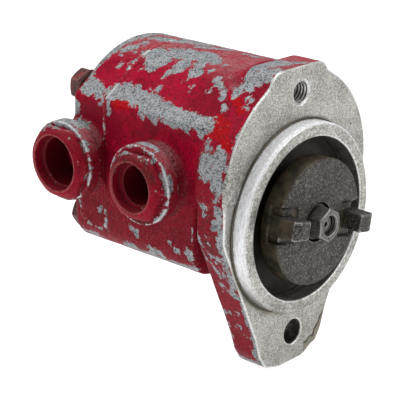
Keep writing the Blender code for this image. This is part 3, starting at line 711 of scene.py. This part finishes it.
def front_grime(points):
    """Grease thrown round the pilot's foot, dirt down the ear and a crack along its lower edge, with
    painted shade in the groove at the pilot's foot and on the pilot's lower part.
    """
    x, y, z = points.T
    radial = np.hypot(x, z)
    apart = np.maximum(radial, 1)
    face = fade(-0.4, -0.1, y) * (y < 1.5)
    lower = fade(0.35, -0.35, (z - 0.3 * x) / apart)
    foot = fade(4, 0.5, radial - PILOT_R) * face * (0.5 + 0.3 * lower)
    inset = -outside(flange_section(), x, z)
    reach = 6 * fade(-42, -57, z) + 0.6 * value_noise(points, 3, 9) - inset
    crack = 0.95 * fade(-0.6, 0.6, reach) + 1.6 * fade(0.8, 0.2, np.abs(reach))
    crack = crack * ((x > 8) & (z < -43) & (y < 3))
    bevel = fade(0.5, 2.2, worn_bevel(x, z)) * np.where((y > 0.3) & (y < 3), 0.8, 0)
    ear = 0.28 * fade(-30, -56, z) * face
    # painted shade: the groove at the pilot's foot darkened
    base = fade(-0.6, 0.3, y) * np.where((y < 0.7) & (radial < PILOT_R + 0.9), 0.6, 0)
    # painted shade: the pilot's lower part darkened
    low_pilot = fade(-0.55, -0.95, z / apart) * np.where(y < -0.3, 0.3, 0)
    return np.max([foot, crack, bevel, ear, base, low_pilot], axis=0)


def polish(points):
    """The pilot's cylindrical side, polished where it has slid in its bore, with a painted highlight that
    fades from its upper left to its lower part.
    """
    x, y, z = points.T
    radial = np.hypot(x, z)
    side = fade(PILOT_R - 1.4, PILOT_R - 0.4, radial) * (radial < PILOT_R + 0.3)
    side = side * fade(0.1, -0.4, y)
    return side * fade(-0.55, 0.35, (z - 0.4 * x) / np.maximum(radial, 1))


def build_casting(name, field, low, high, zone, materials):
    obj, points, curve = skin(name, field, low, high, CAST_CELL, CAST_WAVE, rough_casting)
    paint_wear(obj.data, points, curve)
    assign_zones(obj, points, materials, zone)
    return obj, points


def build_body(*materials):
    low, high = (-55.13, -8.17, -69.21), (48, 74, 66)
    obj, points = build_casting("pump_body", body_field, low, high, body_zone, materials)
    store(obj.data, oil=oil_depth(points), grime=front_grime(points), polish=polish(points))
    return obj


def build_cover(*materials):
    low, high = (-55.13, 66.43, -26.21), (48, 105, 65)
    return build_casting("pump_rear_cover", cover_field, low, high, cover_zone, materials)[0]


# ---- fittings and rotating pieces

def build_adapter(name, port, mat):
    """A hexagon fitting with a coned lip, screwed into a port boss."""
    def field(x, y, z):
        reach = np.hypot(y - port.y, z - PORT_Z)
        hexa = outside(hexagon(port.flats), y - port.y, z - PORT_Z)
        cone = (reach - port.lip_r - (x - LIP_X) * 1.15) * 0.66
        head = meet(meet(hexa, slab(x, LIP_X, COLLAR_X[0] - 0.05)), cone, 0.7)
        head = meet(head, reach - port.lip_r - 3.3, 0.5)
        body = union(head, meet(reach - port.thread_r, slab(x, -56, -41), 0.5))
        body = carve(body, meet(reach - port.seat_r, x - (LIP_X + 4.5), 0.3), 0.5)
        return drill(body, reach - port.bore_r, slab(x, -70, -30), 0.5)

    half = port.flats * 0.62
    low, high = (-60, port.y - half, PORT_Z - half), (-40.5, port.y + half, PORT_Z + half)
    obj, points, _ = skin(name, field, low, high, 0.3, 0.05)
    x, y, z = points.T
    scuffs = [(0.6, *collar_arc(port, port.lip_r + 2.6, 60, 130, LIP_X + 3)),
              (-0.3, *collar_arc(port, port.lip_r + 2.8, -40, 20, LIP_X + 4))]
    face = fade(LIP_X + 4.5, LIP_X + 1.5, x) * fade(-6, 12, z - PORT_Z)
    inside = fade(port.bore_r + 2.2, port.bore_r - 0.4, np.hypot(y - port.y, z - PORT_Z))
    # upward faces paled by dust and a painted sheen; the bore darkened deeper in by oil and painted shade
    store(obj.data, bare=worn(points, scuffs),
          dust=0.25 * fade(0.3, 0.95, vertex_normals(obj.data)[:, 2]),
          fresh=np.full(len(points), -8),
          soil=np.maximum(port.soil * face, 0.22),
          oil=inside * fade(LIP_X + 1, LIP_X + 5, x))
    return finished(obj, mat)


def dog_axes(x, z):
    """Coordinates along and across the tangs."""
    u = x * math.cos(DOG_ANGLE) - z * math.sin(DOG_ANGLE)
    w = x * math.sin(DOG_ANGLE) + z * math.cos(DOG_ANGLE)
    return u, w


def dog_field(x, y, z):
    """Disc with two notches, a tang standing in each, a hub behind and a keyed taper bore."""
    u, w = dog_axes(x, z)
    out, radial = np.abs(u), np.hypot(x, z)
    side = np.abs(w) - NOTCH_W / 2
    disc = meet(radial - DOG_R, slab(y, *DOG_Y), 0.7)
    disc = union(disc, meet(radial - HUB_R, slab(y, -6, 2.6), 0.5), 0.8)
    disc = carve(disc, meet(meet(NOTCH_IN - out, side, 1.5), y - NOTCH_FLOOR, 1.1), 0.7)
    relief = meet(meet(RELIEF_IN - out, side + 0.2, 0.8), y - RELIEF_FLOOR)
    disc = carve(disc, relief, np.where(w > 0, 1.4, 0.3))
    tang = meet(slab(out, *TANG_U), slab(w, -TANG_W / 2, TANG_W / 2), 0.9)
    tang = meet(tang, slab(y, TANG_FRONT, -5), 0.8)
    bevel = 0.45 * (out - TANG_U[1] + 2.9) - 0.893 * (y - TANG_FRONT)
    dog = union(disc, meet(tang, bevel, 0.3), 0.9)
    dog = carve(dog, meet(radial - 8.4, y - WASHER_FLOOR, 0.3), 0.4)
    dog = carve(dog, radial - (SEAT_R + 0.3) - np.clip(y + 8.6, 0, 11.6) * 0.04, 0.2)
    return drill(dog, meet(slab(u, *KEY), slab(w, 4, 10.9)), slab(y, -9.5, 9), 0.2)


def build_dog(mat):
    obj, points, _ = skin("drive_dog_disc", dog_field, *around(28.5, -22, 3.6), 0.35, 0.06)
    x, y, z = points.T
    u, w = dog_axes(x, z)
    face, out = DOG_Y[0], np.abs(u)
    rim = fade(-1.2, -0.1, np.hypot(x, z) - DOG_R) * fade(face - 0.6, face + 1.2, y)
    # painted shade: the notches and everything behind the disc's face darkened
    trough = fade(face + 1.4, face + 2.4, y)
    ends = fade(TANG_U[1] - 0.8, TANG_U[1] - 0.1, out)
    ends = ends * fade(TANG_FRONT + 1.4, TANG_FRONT + 2.6, y)
    # oil, and painted shade, round the tangs' roots
    root = 0.6 * fade(4, 0.5, np.abs(out - TANG_U[0] + 1)) * fade(7.5, 5, np.abs(w))
    root = root * fade(face - 3.5, face - 0.5, y)
    store(obj.data, oil=np.max([rim, trough, ends, root], axis=0))
    return finished(obj, mat)


def helix(x, y, z, pitch, shift=0):
    """A thread's triangular profile round the Y axis, 0 to 1."""
    return zigzag(y / pitch + np.arctan2(z, x) / (2 * math.pi) + shift)


def shaft_field(x, y, z):
    radial = np.hypot(x, z)
    journal = meet(radial - JOURNAL_R, slab(y, -2.6, 71.6), 0.6)
    seat = meet(radial - SEAT_R - np.clip(y + 8.3, 0, 5.6) * 0.14, slab(y, -8.3, 0), 0.3)
    thread = (radial - THREAD_R + 0.55 * helix(x, y, z, NUT_PITCH)) * 0.75
    thread = meet(thread, (radial - THREAD_R - (y - THREAD_END - 0.7)) * 0.7, 0.1)
    thread = meet(thread, slab(y, THREAD_END, -6), 0.2)
    thread = drill(thread, radial - 1.2 + (y - THREAD_END) * 0.5, y - THREAD_END - 2.4, 0.1)
    shaft = union(union(journal, seat), thread, 0.3)
    u, w = dog_axes(x, z)
    shaft = drill(shaft, meet(slab(u, *KEY), slab(w, 5.4, 14)), slab(y, -7.3, 1.3), 0.2)
    return drill(shaft, meet(slab(x, *KEY), slab(z, 5.7, 14)), slab(y, 34, 50.6), 0.2)


def build_shaft(mat, thread_mat):
    obj, points, _ = skin("pump_drive_shaft", shaft_field, *around(9.6, -17.4, 72.6), 0.25)
    assign_zones(obj, points, (mat, thread_mat), lambda cx, cy, cz: cy < -8)
    return obj


def nut_field(x, y, z):
    radial = np.hypot(x, z)
    nut = meet(outside(hexagon(NUT_FLATS, NUT_ANGLE), x, z), slab(y, *NUT_Y), 0.25)
    nut = meet(nut, (radial - 6.5 - (y - NUT_Y[0]) * 1.6) * 0.53, 0.25)
    nut = meet(nut, (radial - 6.8 + (y - NUT_Y[1]) * 1.6) * 0.53, 0.25)
    nut = carve(nut, (radial - 4.45 + 0.35 * helix(x, y, z, NUT_PITCH, 0.5)) * 0.8, 0.08)
    return carve(nut, (radial - 4.6 + (y - NUT_Y[0]) * 0.9) * 0.75, 0.12)


def build_nut(mat):
    return finished(skin("dog_nut_hex", nut_field, *around(9.5, -18.2, -9.9), 0.22)[0], mat)


def build_screw(index, centre, mat):
    cx, cz = centre

    def field(x, y, z):
        x, z = x - cx, z - cz
        radial = np.hypot(x, z)
        head = meet(outside(hexagon(SCREW_FLATS, 30 + 17 * index), x, z), slab(y, *HEAD_Y), 0.4)
        head = meet(head, (radial - 6.2 + (y - HEAD_Y[1]) * 1.7) * 0.5, 0.3)
        head = drill(head, radial - 4.4, HEAD_Y[1] - 0.5 - y, 0.5)
        return union(head, meet(radial - SCREW_R, slab(y, 52, 96), 0.4), 0.4)

    box = around(8.6, 51, 100.6, cx, cz)
    return finished(skin(f"cover_screw_head_{index + 1}", field, *box, 0.3, 0.05)[0], mat)


def thread_field(x, y, z):
    z = z - BOLT_Z
    radial = np.hypot(x, z)
    wall = (radial - 4.75 + 0.75 * helix(x, y, z, 1.6)) * 0.75
    wall = carve(radial - THREAD_LINER_R, wall, 0.08)
    wall = carve(wall, (radial - 4.9 + y * 0.8) * 0.75)
    return meet(wall, slab(y, 0.15, 13.4), 0.1)


def build_thread(mat):
    """Threaded lining of the flange's tapped hole."""
    box = around(5.8, -0.6, 14.2, 0, BOLT_Z)
    return finished(skin("tapped_hole_thread", thread_field, *box, 0.2)[0], mat)


# ---- materials

class Graph:
    """A material's node tree, with short ways to add nodes; place is the surface point in mm."""

    def __init__(self, name):
        self.material = bpy.data.materials.new(name)
        self.material.use_nodes = True
        self.tree = self.material.node_tree
        self.shader = self.tree.nodes["Principled BSDF"]
        where = self.node("TexCoord").outputs["Object"]
        self.place = self.node("VectorMath", where, operation="SCALE", Scale=1000).outputs[0]

    def feed(self, socket, value):
        if isinstance(value, bpy.types.NodeSocket):
            self.tree.links.new(value, socket)
        else:
            socket.default_value = (*value, 1) if socket.type == "RGBA" else value

    def node(self, kind, *values, operation=None, **named):
        """A new node, its sockets fed in order and then by name."""
        node = self.tree.nodes.new("ShaderNode" + kind)
        if operation:
            node.operation = operation
        for socket, value in zip(node.inputs, values):
            self.feed(socket, value)
        for name, value in named.items():
            self.feed(node.inputs[name], value)
        return node

    def math(self, operation, *values):
        return self.node("Math", *values, operation=operation).outputs[0]

    def add(self, *values):
        total = values[0]
        for value in values[1:]:
            total = self.math("ADD", total, value)
        return total

    def times(self, a, b):
        return self.math("MULTIPLY", a, b)

    def mix(self, factor, a, b):
        node = self.node("Mix")
        node.data_type = "RGBA"
        for index, value in ((0, factor), (6, a), (7, b)):
            self.feed(node.inputs[index], value)
        return node.outputs[2]

    def ramp(self, value, low, high, start=0, end=1):
        node = self.node("MapRange", value, low, high, start, end)
        node.interpolation_type = "SMOOTHSTEP"
        return node.outputs[0]

    def over(self, colour, tint, value, low, high, start=0, end=1):
        """The colour, covered by the tint as value goes from low to high."""
        return self.mix(self.ramp(value, low, high, start, end), colour, tint)

    def stretched(self, *scale):
        return self.node("VectorMath", self.place, scale, operation="MULTIPLY").outputs[0]

    def noise(self, size, detail=3, rough=0.5, distortion=0, vector=None):
        """Noise with features about size mm across, centred on zero."""
        node = self.node("TexNoise", vector or self.place, Scale=1 / size, Detail=detail,
                         Roughness=rough, Distortion=distortion)
        return self.math("SUBTRACT", node.outputs[0], 0.5)

    def waves(self, height, *shape):
        """Noise of that shape, times a height."""
        return self.times(self.noise(*shape), height)

    def cells(self, size):
        """Distance in cells to the nearest random point, and that point's random number."""
        node = self.node("TexVoronoi", self.place, Scale=1 / size)
        split = self.node("SeparateColor", node.outputs["Color"])
        return node.outputs["Distance"], split.outputs[0]

    def attribute(self, name):
        node = self.node("Attribute")
        node.attribute_name = name
        return node.outputs["Fac"]

    def spots(self, size, share, widest):
        """Positive, in mm, inside scattered blobs up to widest mm in radius."""
        distance, number = self.cells(size)
        radius = self.times(self.math("SUBTRACT", number, 1 - share), widest / share)
        return self.math("SUBTRACT", radius, self.times(distance, size))

    def finish(self, colour, roughness, metallic, height=None):
        for name, value in (("Base Color", colour), ("Roughness", roughness), ("Metallic", metallic)):
            self.feed(self.shader.inputs[name], value)
        if height is not None:
            bump = self.node("Bump", Strength=1, Distance=MM, Height=height)
            self.feed(self.shader.inputs["Normal"], bump.outputs[0])
        return self.material


PAINT = (0.37, 0, 0.024)
PAINT_DARK = (0.21, 0.002, 0.016)
PAINT_BRIGHT = (0.37, 0, 0.004)
PAINT_FILM = (0.215, 0.014, 0.024)
PAINT_DUSTY = (0.31, 0.11, 0.12)
PAINT_HOLLOW = (0.05, 0.01, 0.012)
PAINT_RIM = (0.5, 0.2, 0.2)
PAINT_SOIL = (0.056, 0.016, 0.014)
PAINT_SPECKLE = (0.1, 0.002, 0.008)
BORE_SOOT = (0.075, 0.002, 0.004)
CAST_LIGHT = (0.345, 0.357, 0.365)
CAST_DARK = (0.05, 0.055, 0.06)
CAST_RIDGE = (0.7, 0.7, 0.7)
CAST_STAIN = (0.22, 0.19, 0.16)
METAL_DARK = (0.2, 0.196, 0.172)
METAL_LIGHT = (0.385, 0.378, 0.348)
METAL_PIT = (0.085, 0.08, 0.066)
METAL_NICK = (0.07, 0.065, 0.05)
METAL_RUBBED = (0.66, 0.653, 0.62)
METAL_EDGE = (0.72, 0.72, 0.71)
POLISHED = ((0.68, 0.68, 0.69), (0.96, 0.97, 0.99))
GRIME_THIN = (0.15, 0.13, 0.085)
GRIME_THICK = (0.022, 0.02, 0.013)
GREASE = (0.045, 0.034, 0.018)
OIL = ((0.01, 0.008, 0.005), (0.034, 0.027, 0.017))
OIL_GRIT = (0.05, 0.042, 0.031)
OIL_IN_HOLE = (0.012, 0.005, 0.005)
OIL_ON_STEEL = ((0.028, 0.021, 0.012), (0.11, 0.084, 0.046))
STEEL_HOLLOW = (0.012, 0.011, 0.009)
RUST = (0.13, 0.045, 0.022)
PAINT_TRACE = (0.26, 0.012, 0.02)
RUBBER = ((0.012, 0.012, 0.012), (0.035, 0.034, 0.032))
FLOOR = ((0.36, 0.36, 0.36), (0.38, 0.38, 0.38))

# how the casting and the fittings look: dust with a painted sheen, painted shade with oil in the fittings'
# bores, share and size of the pecks, the painted highlight on convex edges, grit
CASTING_LOOK = SimpleNamespace(dust=1, soot=0, pecks=(3.6, 0.07, 0.5), rubbed=0.45,
                               rubbed_red=(0.46, 0.07, 0.08), grit=(0.34, 0.13, 0.13))
FITTING_LOOK = SimpleNamespace(dust=0.6, soot=0.95, pecks=(3, 0.16, 0.5), rubbed=0.75,
                               rubbed_red=(0.36, 0.09, 0.09), grit=(0.15, 0.05, 0.045))


def painted(name, look):
    """Red paint over cast aluminium, chipped down to the metal where the piece is worn."""
    g = Graph(name)
    flake = g.math("SUBTRACT", g.cells(1.7)[1], 0.5)
    crumb = g.math("SUBTRACT", g.cells(0.7)[1], 0.5)
    ragged = g.add(g.attribute("bare"), g.waves(4.6, 5, 2), g.waves(3.6, 1.9, 3, 0.7),
                   g.times(flake, 1.7), g.times(crumb, 0.7))
    chips = g.add(g.spots(9, 0.1, 1.2), g.waves(1.6, 1.2, 2), g.times(crumb, 0.5))
    pecks = g.add(g.spots(*look.pecks), g.waves(0.5, 0.7, 2))
    gone = g.math("MAXIMUM", ragged, g.math("MAXIMUM", chips, pecks))
    bare = g.ramp(gone, -0.08, 0.08)
    rim = g.ramp(gone, -0.45, -0.05)

    tone = g.noise(22, 3, 0.55)
    mottle = g.noise(4, 4, 0.6)
    red = g.over(PAINT_DARK, PAINT, g.add(tone, g.times(mottle, 0.5)), -0.16, 0.14)
    film = g.ramp(g.add(g.noise(1.6, 4, 0.75), g.times(tone, 0.8)), 0, 0.24, 0, 0.6)
    red = g.mix(film, red, PAINT_FILM)
    # upward faces turned pale pinkish grey: dust, and a painted sheen of the overhead light
    dust = g.times(g.attribute("dust"), g.ramp(g.noise(7, 5, 0.7), -0.18, 0.16, 0.3, 1))
    red = g.mix(g.times(dust, look.dust), red, PAINT_DUSTY)
    red = g.over(red, PAINT_BRIGHT, g.add(g.attribute("fresh"), g.waves(6, 3, 3, 0.6)), -0.1, 0.5)
    # painted shade: concave corners and creases darkened
    hollow = g.ramp(g.attribute("convex"), -0.12, -0.4)
    red = g.mix(g.times(hollow, 0.6), red, PAINT_HOLLOW)
    # painted highlight: convex edges turned a paler red
    proud = g.add(g.attribute("convex"), g.times(mottle, 0.8))
    red = g.over(red, look.rubbed_red, proud, 0.35, 0.9, 0, look.rubbed)
    # pale line round each chip: a painted highlight on the paint's broken edge, with paler fractured paint
    red = g.mix(g.times(rim, 0.35), red, PAINT_RIM)
    # dark brown patches: grime, and painted shade low on the casting's -X side
    soil = g.attribute("soil")
    patchy = g.ramp(g.add(tone, mottle, g.noise(1.3, 3, 0.7)), -0.22, 0.2, 0.35, 1.3)
    red = g.mix(g.times(soil, patchy), red, PAINT_SOIL)
    grit = g.ramp(g.noise(1.2, 3, 0.75), 0, 0.2, 0, 0.5)
    dirty = g.math("MINIMUM", g.add(0.15, soil, dust), 1)
    red = g.mix(g.times(grit, dirty), red, look.grit)
    red = g.over(red, PAINT_SPECKLE, g.noise(1.1, 3, 0.75), -0.18, 0.04, 0.9, 0)

    speck = g.add(g.noise(0.85, 2, 0.8), g.waves(0.25, 3.2, 2))
    grey = g.over(CAST_DARK, CAST_LIGHT, speck, -0.2, 0.1)
    # painted highlight: the bare metal's convex ridges lightened
    grey = g.over(grey, CAST_RIDGE, g.attribute("convex"), 0.4, 0.85, 0, 0.6)
    grey = g.over(grey, CAST_STAIN, g.noise(7, 3), 0.06, 0.26, 0, 0.3)
    colour = g.mix(bare, red, grey)
    # painted shade with oil: the fittings' bores darkened deeper in
    if look.soot:
        colour = g.mix(g.times(g.attribute("oil"), look.soot), colour, BORE_SOOT)

    sheen = g.add(0.42, g.times(dust, 0.2), g.times(film, 0.25), g.waves(0.25, 2, 3))
    roughness = g.add(sheen, g.times(bare, 0.14))
    sandy = g.times(g.times(bare, g.noise(0.6, 2, 0.7)), 0.22)
    height = g.add(g.times(bare, -0.1), g.waves(0.1, 1.1, 3, 0.6), sandy)
    g.shader.inputs["Specular IOR Level"].default_value = 0.05
    return g.finish(colour, roughness, g.times(bare, 0.5), height)


def machined_metal():
    """Bare aluminium of the flange and pilot: blotched, nicked and oily in the recess, with painted
    highlights on its edges and the pilot's upper left side, and painted shade in its corners, at the
    pilot's foot and lower part and in the lower bolt hole.
    """
    g = Graph("machined_aluminium")
    blotch = g.add(g.noise(16, 4, 0.6), g.waves(0.9, 2.2, 4, 0.75))
    metal = g.over(METAL_DARK, METAL_LIGHT, blotch, -0.26, 0.22)
    grain = g.noise(0.85, 3, 0.8)
    metal = g.over(metal, METAL_PIT, grain, 0, -0.18, 0, 0.9)
    metal = g.over(metal, METAL_RUBBED, grain, 0, 0.18, 0, 0.8)
    nick = g.ramp(g.add(g.spots(5, 0.16, 0.7), g.waves(0.6, 0.8, 2)), -0.08, 0.1)
    metal = g.mix(g.times(nick, 0.6), metal, METAL_NICK)
    scratch = g.ramp(g.noise(1, 2, 0.5, 0.3, g.stretched(1.6, 1, 0.1)), 0.15, 0.22)
    scratch = g.add(scratch, g.ramp(g.noise(1, 2, 0.5, 0.4, g.stretched(0.12, 1, 1.9)), 0.17, 0.24))
    metal = g.mix(g.times(scratch, 0.35), metal, METAL_RUBBED)
    # painted highlight on convex edges, with edges worn bright
    edge = g.add(g.attribute("convex"), g.times(grain, 0.8))
    metal = g.over(metal, METAL_EDGE, edge, 0.3, 0.9, 0, 0.8)
    # painted highlight: the pilot's upper left side turned near white, with real polish
    polished = g.attribute("polish")
    streak = g.noise(1, 3, 0.6, 0.2, g.stretched(1, 1.2, 0.25))
    metal = g.mix(g.times(polished, 0.9), metal, g.over(*POLISHED, streak, -0.16, 0.12))
    smear = g.add(g.attribute("grime"), g.waves(1.3, 6, 4, 0.65), g.times(grain, 0.8))
    metal = g.over(metal, GRIME_THIN, smear, 0.2, 0.9, 0, 0.75)
    metal = g.over(metal, GRIME_THICK, smear, 1.1, 1.9, 0, 0.95)
    # grease, and painted shade: concave corners darkened to dark brown
    corner = g.ramp(g.attribute("convex"), -0.12, -0.5)
    grease = g.ramp(g.add(corner, g.noise(6, 3)), 0.25, 0.75)
    metal = g.mix(g.times(grease, 0.85), metal, GREASE)
    oil = g.attribute("oil")
    stain = g.over(*OIL, g.noise(5, 4, 0.65), -0.15, 0.2)
    stain = g.over(stain, OIL_GRIT, grain, -0.02, 0.2, 0, 0.6)
    # painted shade: the lower bolt hole darkened to near black
    colour = g.over(g.mix(oil, metal, stain), OIL_IN_HOLE, oil, 1.05, 1.5)
    roughness = g.add(0.4, g.waves(0.35, 1.4, 4, 0.7), g.times(oil, 0.28), g.times(polished, -0.12))
    metallic = g.add(0.8, g.times(oil, -0.65), g.times(polished, -0.75))
    height = g.add(g.times(nick, -0.16), g.times(grain, 0.07), g.times(scratch, -0.02))
    return g.finish(colour, roughness, metallic, height)


def worn_steel(name, dark, light, rough, metallic, edge_tone, grain_depth, rust=0, paint=0):
    """Steel with mottling and pits, a painted highlight on its edges and painted shade in its corners; rust
    and paint are how much of each.
    """
    g = Graph(name)
    mottle = g.add(g.noise(3.4, 5, 0.68), g.waves(0.7, 11, 2))
    colour = g.over(dark, light, mottle, -0.26, 0.26)
    grain = g.noise(0.7, 3, 0.8)
    colour = g.over(colour, edge_tone, grain, 0.02, 0.15, 0, 0.85)
    colour = g.over(colour, tuple(0.25 * c for c in dark), grain, -0.01, -0.16, 0, 0.9)
    if rust:
        colour = g.mix(g.times(g.ramp(g.noise(4.5, 5, 0.7), -0.04, 0.16), rust), colour, RUST)
    if paint:
        colour = g.over(colour, PAINT_TRACE, g.noise(3.8, 4, 0.6, 0.4), 0.03, 0.07, 0, paint)
    oil = g.attribute("oil")
    # painted highlight: convex edges lightened, except where oil lies
    edge = g.ramp(g.add(g.attribute("convex"), g.times(grain, 1.8), g.times(oil, -1.6)), 0.35, 1.1)
    colour = g.mix(g.times(edge, 0.8), colour, tuple(1.3 * c for c in edge_tone))
    # painted shade: concave corners darkened to near black
    colour = g.over(colour, STEEL_HOLLOW, g.attribute("convex"), -0.1, -0.7, 0, 0.8)
    # brown from oil, and on the dog from painted shade in the notches and at the tangs' roots
    brown = g.over(*OIL_ON_STEEL, g.noise(5, 3), -0.2, 0.2)
    colour = g.mix(g.times(oil, 0.85), colour, brown)
    roughness = g.add(rough, g.waves(0.4, 1.8, 4, 0.7), g.times(edge, -0.08))
    height = g.add(g.times(grain, grain_depth), g.waves(grain_depth * 1.6, 2.4, 3, 0.6))
    return g.finish(colour, roughness, metallic, height)


def turned_metal(name, dark, light, rough, metallic):
    """Clean machined inner pieces: fine turning marks, slight oil staining."""
    g = Graph(name)
    film = g.noise(6, 4, 0.6)
    colour = g.over(dark, light, film, -0.2, 0.2)
    marks = g.noise(0.5, 2, 0.6, 0, g.stretched(0.15, 1.6, 0.15))
    colour = g.over(colour, tuple(0.5 * c for c in dark), marks, 0.05, 0.25, 0, 0.35)
    roughness = g.add(rough, g.times(film, 0.25), g.times(marks, 0.15))
    return g.finish(colour, roughness, metallic, g.add(g.times(marks, 0.02), g.times(film, 0.02)))


def rubber():
    g = Graph("oily_rubber")
    film = g.noise(2.5, 4, 0.65)
    roughness = g.add(0.5, g.times(film, 0.5))
    return g.finish(g.over(*RUBBER, film, -0.2, 0.2), roughness, 0, g.times(film, 0.06))


# ---- studio

def camera():
    """Well to the left of the drive end and a little above it, through a long lens."""
    azimuth, elevation, roll = math.radians(-47.849), math.radians(19.615), math.radians(0.708)
    level = Vector((math.cos(azimuth), math.sin(azimuth), 0))
    ahead = Vector((math.sin(azimuth), -math.cos(azimuth), 0))
    back = ahead * math.cos(elevation) + Vector((0, 0, math.sin(elevation)))
    above = back.cross(level)
    right = level * math.cos(roll) + above * math.sin(roll)
    up = above * math.cos(roll) - level * math.sin(roll)
    spot = (back * 615.16 - right * 40.479 + up * 6.455) * MM
    data = bpy.data.cameras.new("Camera")
    data.lens = 132.3
    data.sensor_width = 36
    data.clip_start = 0.01
    data.clip_end = 20
    obj = add_object("Camera", data)
    obj.matrix_world = Matrix.Translation(spot) @ Matrix((right, up, back)).transposed().to_4x4()
    bpy.context.scene.camera = obj


def softbox(name, direction, distance, size, watts):
    """A round area light, turned to the middle of the pump."""
    away = Vector(direction).normalized()
    data = bpy.data.lights.new(name, "AREA")
    data.shape = "DISK"
    data.size = size
    data.energy = watts
    obj = add_object(name, data)
    obj.location = Vector((0, 0.035, 0.005)) + away * distance
    obj.rotation_euler = away.to_track_quat("Z", "Y").to_euler()


def studio():
    scene = bpy.context.scene
    scene.view_settings.view_transform = "Standard"
    scene.world = bpy.data.worlds.new("Studio")
    scene.world.use_nodes = True
    sky = scene.world.node_tree.nodes["Background"].inputs
    sky[0].default_value = (0.96, 0.97, 1, 1)
    sky[1].default_value = 0.3
    softbox("Overhead", (0.15, 0.1, 1), 0.9, 0.9, 7)
    softbox("Behind", (-0.55, 0.45, 0.66), 1, 0.6, 3.2)
    softbox("Front", (0.55, -1, 0.55), 0.9, 0.6, 3.6)
    softbox("Side", (-1, -0.25, 0.35), 1.1, 0.7, 1)
    floor()


def floor():
    g = Graph("pale_floor")
    colour = g.over(*FLOOR, g.noise(300, 3), -0.2, 0.2)
    g.shader.inputs["Emission Color"].default_value = (1, 1, 1, 1)
    g.shader.inputs["Emission Strength"].default_value = 0.92
    size, level = 12, -0.0675
    corners = [(x * size, y * size, level) for x, y in ((-1, -1), (1, -1), (1, 1), (-1, 1))]
    mesh = bpy.data.meshes.new("floor")
    mesh.from_pydata(corners, [], [(0, 1, 2, 3)])
    finished(add_object("floor", mesh), g.finish(colour, 0.9, 0))


# ---- assembly

def place(piece, body, slot, *nodes):
    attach(piece, body)
    if nodes:
        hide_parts(*nodes)


def dress(names, mat):
    """Give carried-over CAD nodes, named in one string, their finished material."""
    for name in names.split():
        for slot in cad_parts[name].material_slots:
            slot.material = mat


def build():
    paint = painted("worn_red_paint", CASTING_LOOK)
    fitting = painted("painted_fitting", FITTING_LOOK)
    metal = machined_metal()
    dog_steel = worn_steel("oiled_dog_steel", (0.021, 0.019, 0.016), (0.062, 0.056, 0.046), 0.54, 0.7,
                           (0.21, 0.2, 0.18), 0.13)
    nut_steel = worn_steel("rubbed_nut_steel", (0.085, 0.082, 0.075), (0.18, 0.174, 0.162), 0.46, 0.85,
                           (0.2, 0.195, 0.185), 0.06)
    screw_steel = worn_steel("rusty_screw", (0.034, 0.008, 0.008), (0.075, 0.015, 0.014), 0.6, 0.2,
                             (0.15, 0.06, 0.055), 0.09, 0.6, 0.8)
    ground = turned_metal("ground_steel_bright", (0.42, 0.42, 0.43), (0.58, 0.58, 0.58), 0.26, 1)
    bronze = turned_metal("bearing_bronze_oiled", (0.34, 0.2, 0.08), (0.55, 0.36, 0.17), 0.34, 0.95)
    block = turned_metal("block_aluminium_machined", (0.5, 0.5, 0.49), (0.66, 0.66, 0.65), 0.38, 0.9)
    seal = rubber()

    place(build_body(paint, metal), "housing", "painted_housing", "body_housing")
    place(build_cover(paint, metal), "housing", "painted_housing", "rear_cover")
    for name, port in (("pressure_port", PRESSURE), ("suction_port", SUCTION)):
        place(build_adapter(name + "_fitting", port, fitting), "housing", "port_fitting", name + "_adapter")
    place(build_thread(metal), "housing", "painted_housing")
    place(build_dog(dog_steel), "drive_group", "oiled_steel", "drive_dog")
    place(build_shaft(ground, nut_steel), "drive_group", "ground_steel", "drive_shaft")
    place(build_nut(nut_steel), "drive_group", "oiled_steel", "dog_nut")
    centres = [(side * SCREW_X, z) for z in SCREW_Z for side in (-1, 1)]
    for i, centre in enumerate(centres):
        place(build_screw(i, centre, screw_steel), "housing", "rusty_screw_steel", f"cover_screw_{i + 1}")
        washer = finished(lathe(f"cover_washer_ring_{i + 1}", WASHER, centre), screw_steel)
        place(washer, "housing", "rusty_screw_steel", f"cover_washer_{i + 1}")

    dress("dog_key dog_lock_washer drive_gear_key", dog_steel)
    dress("idler_shaft drive_gear idler_gear seal_retaining_ring dowel_pin_1 dowel_pin_2", ground)
    dress("front_bearing_block rear_bearing_block", block)
    dress("front_drive_bush front_idler_bush rear_drive_bush rear_idler_bush", bronze)
    dress("pressure_port_oring suction_port_oring cover_oring", seal)
    dress("front_block_seal rear_block_seal shaft_seal", seal)


camera()
studio()
build()
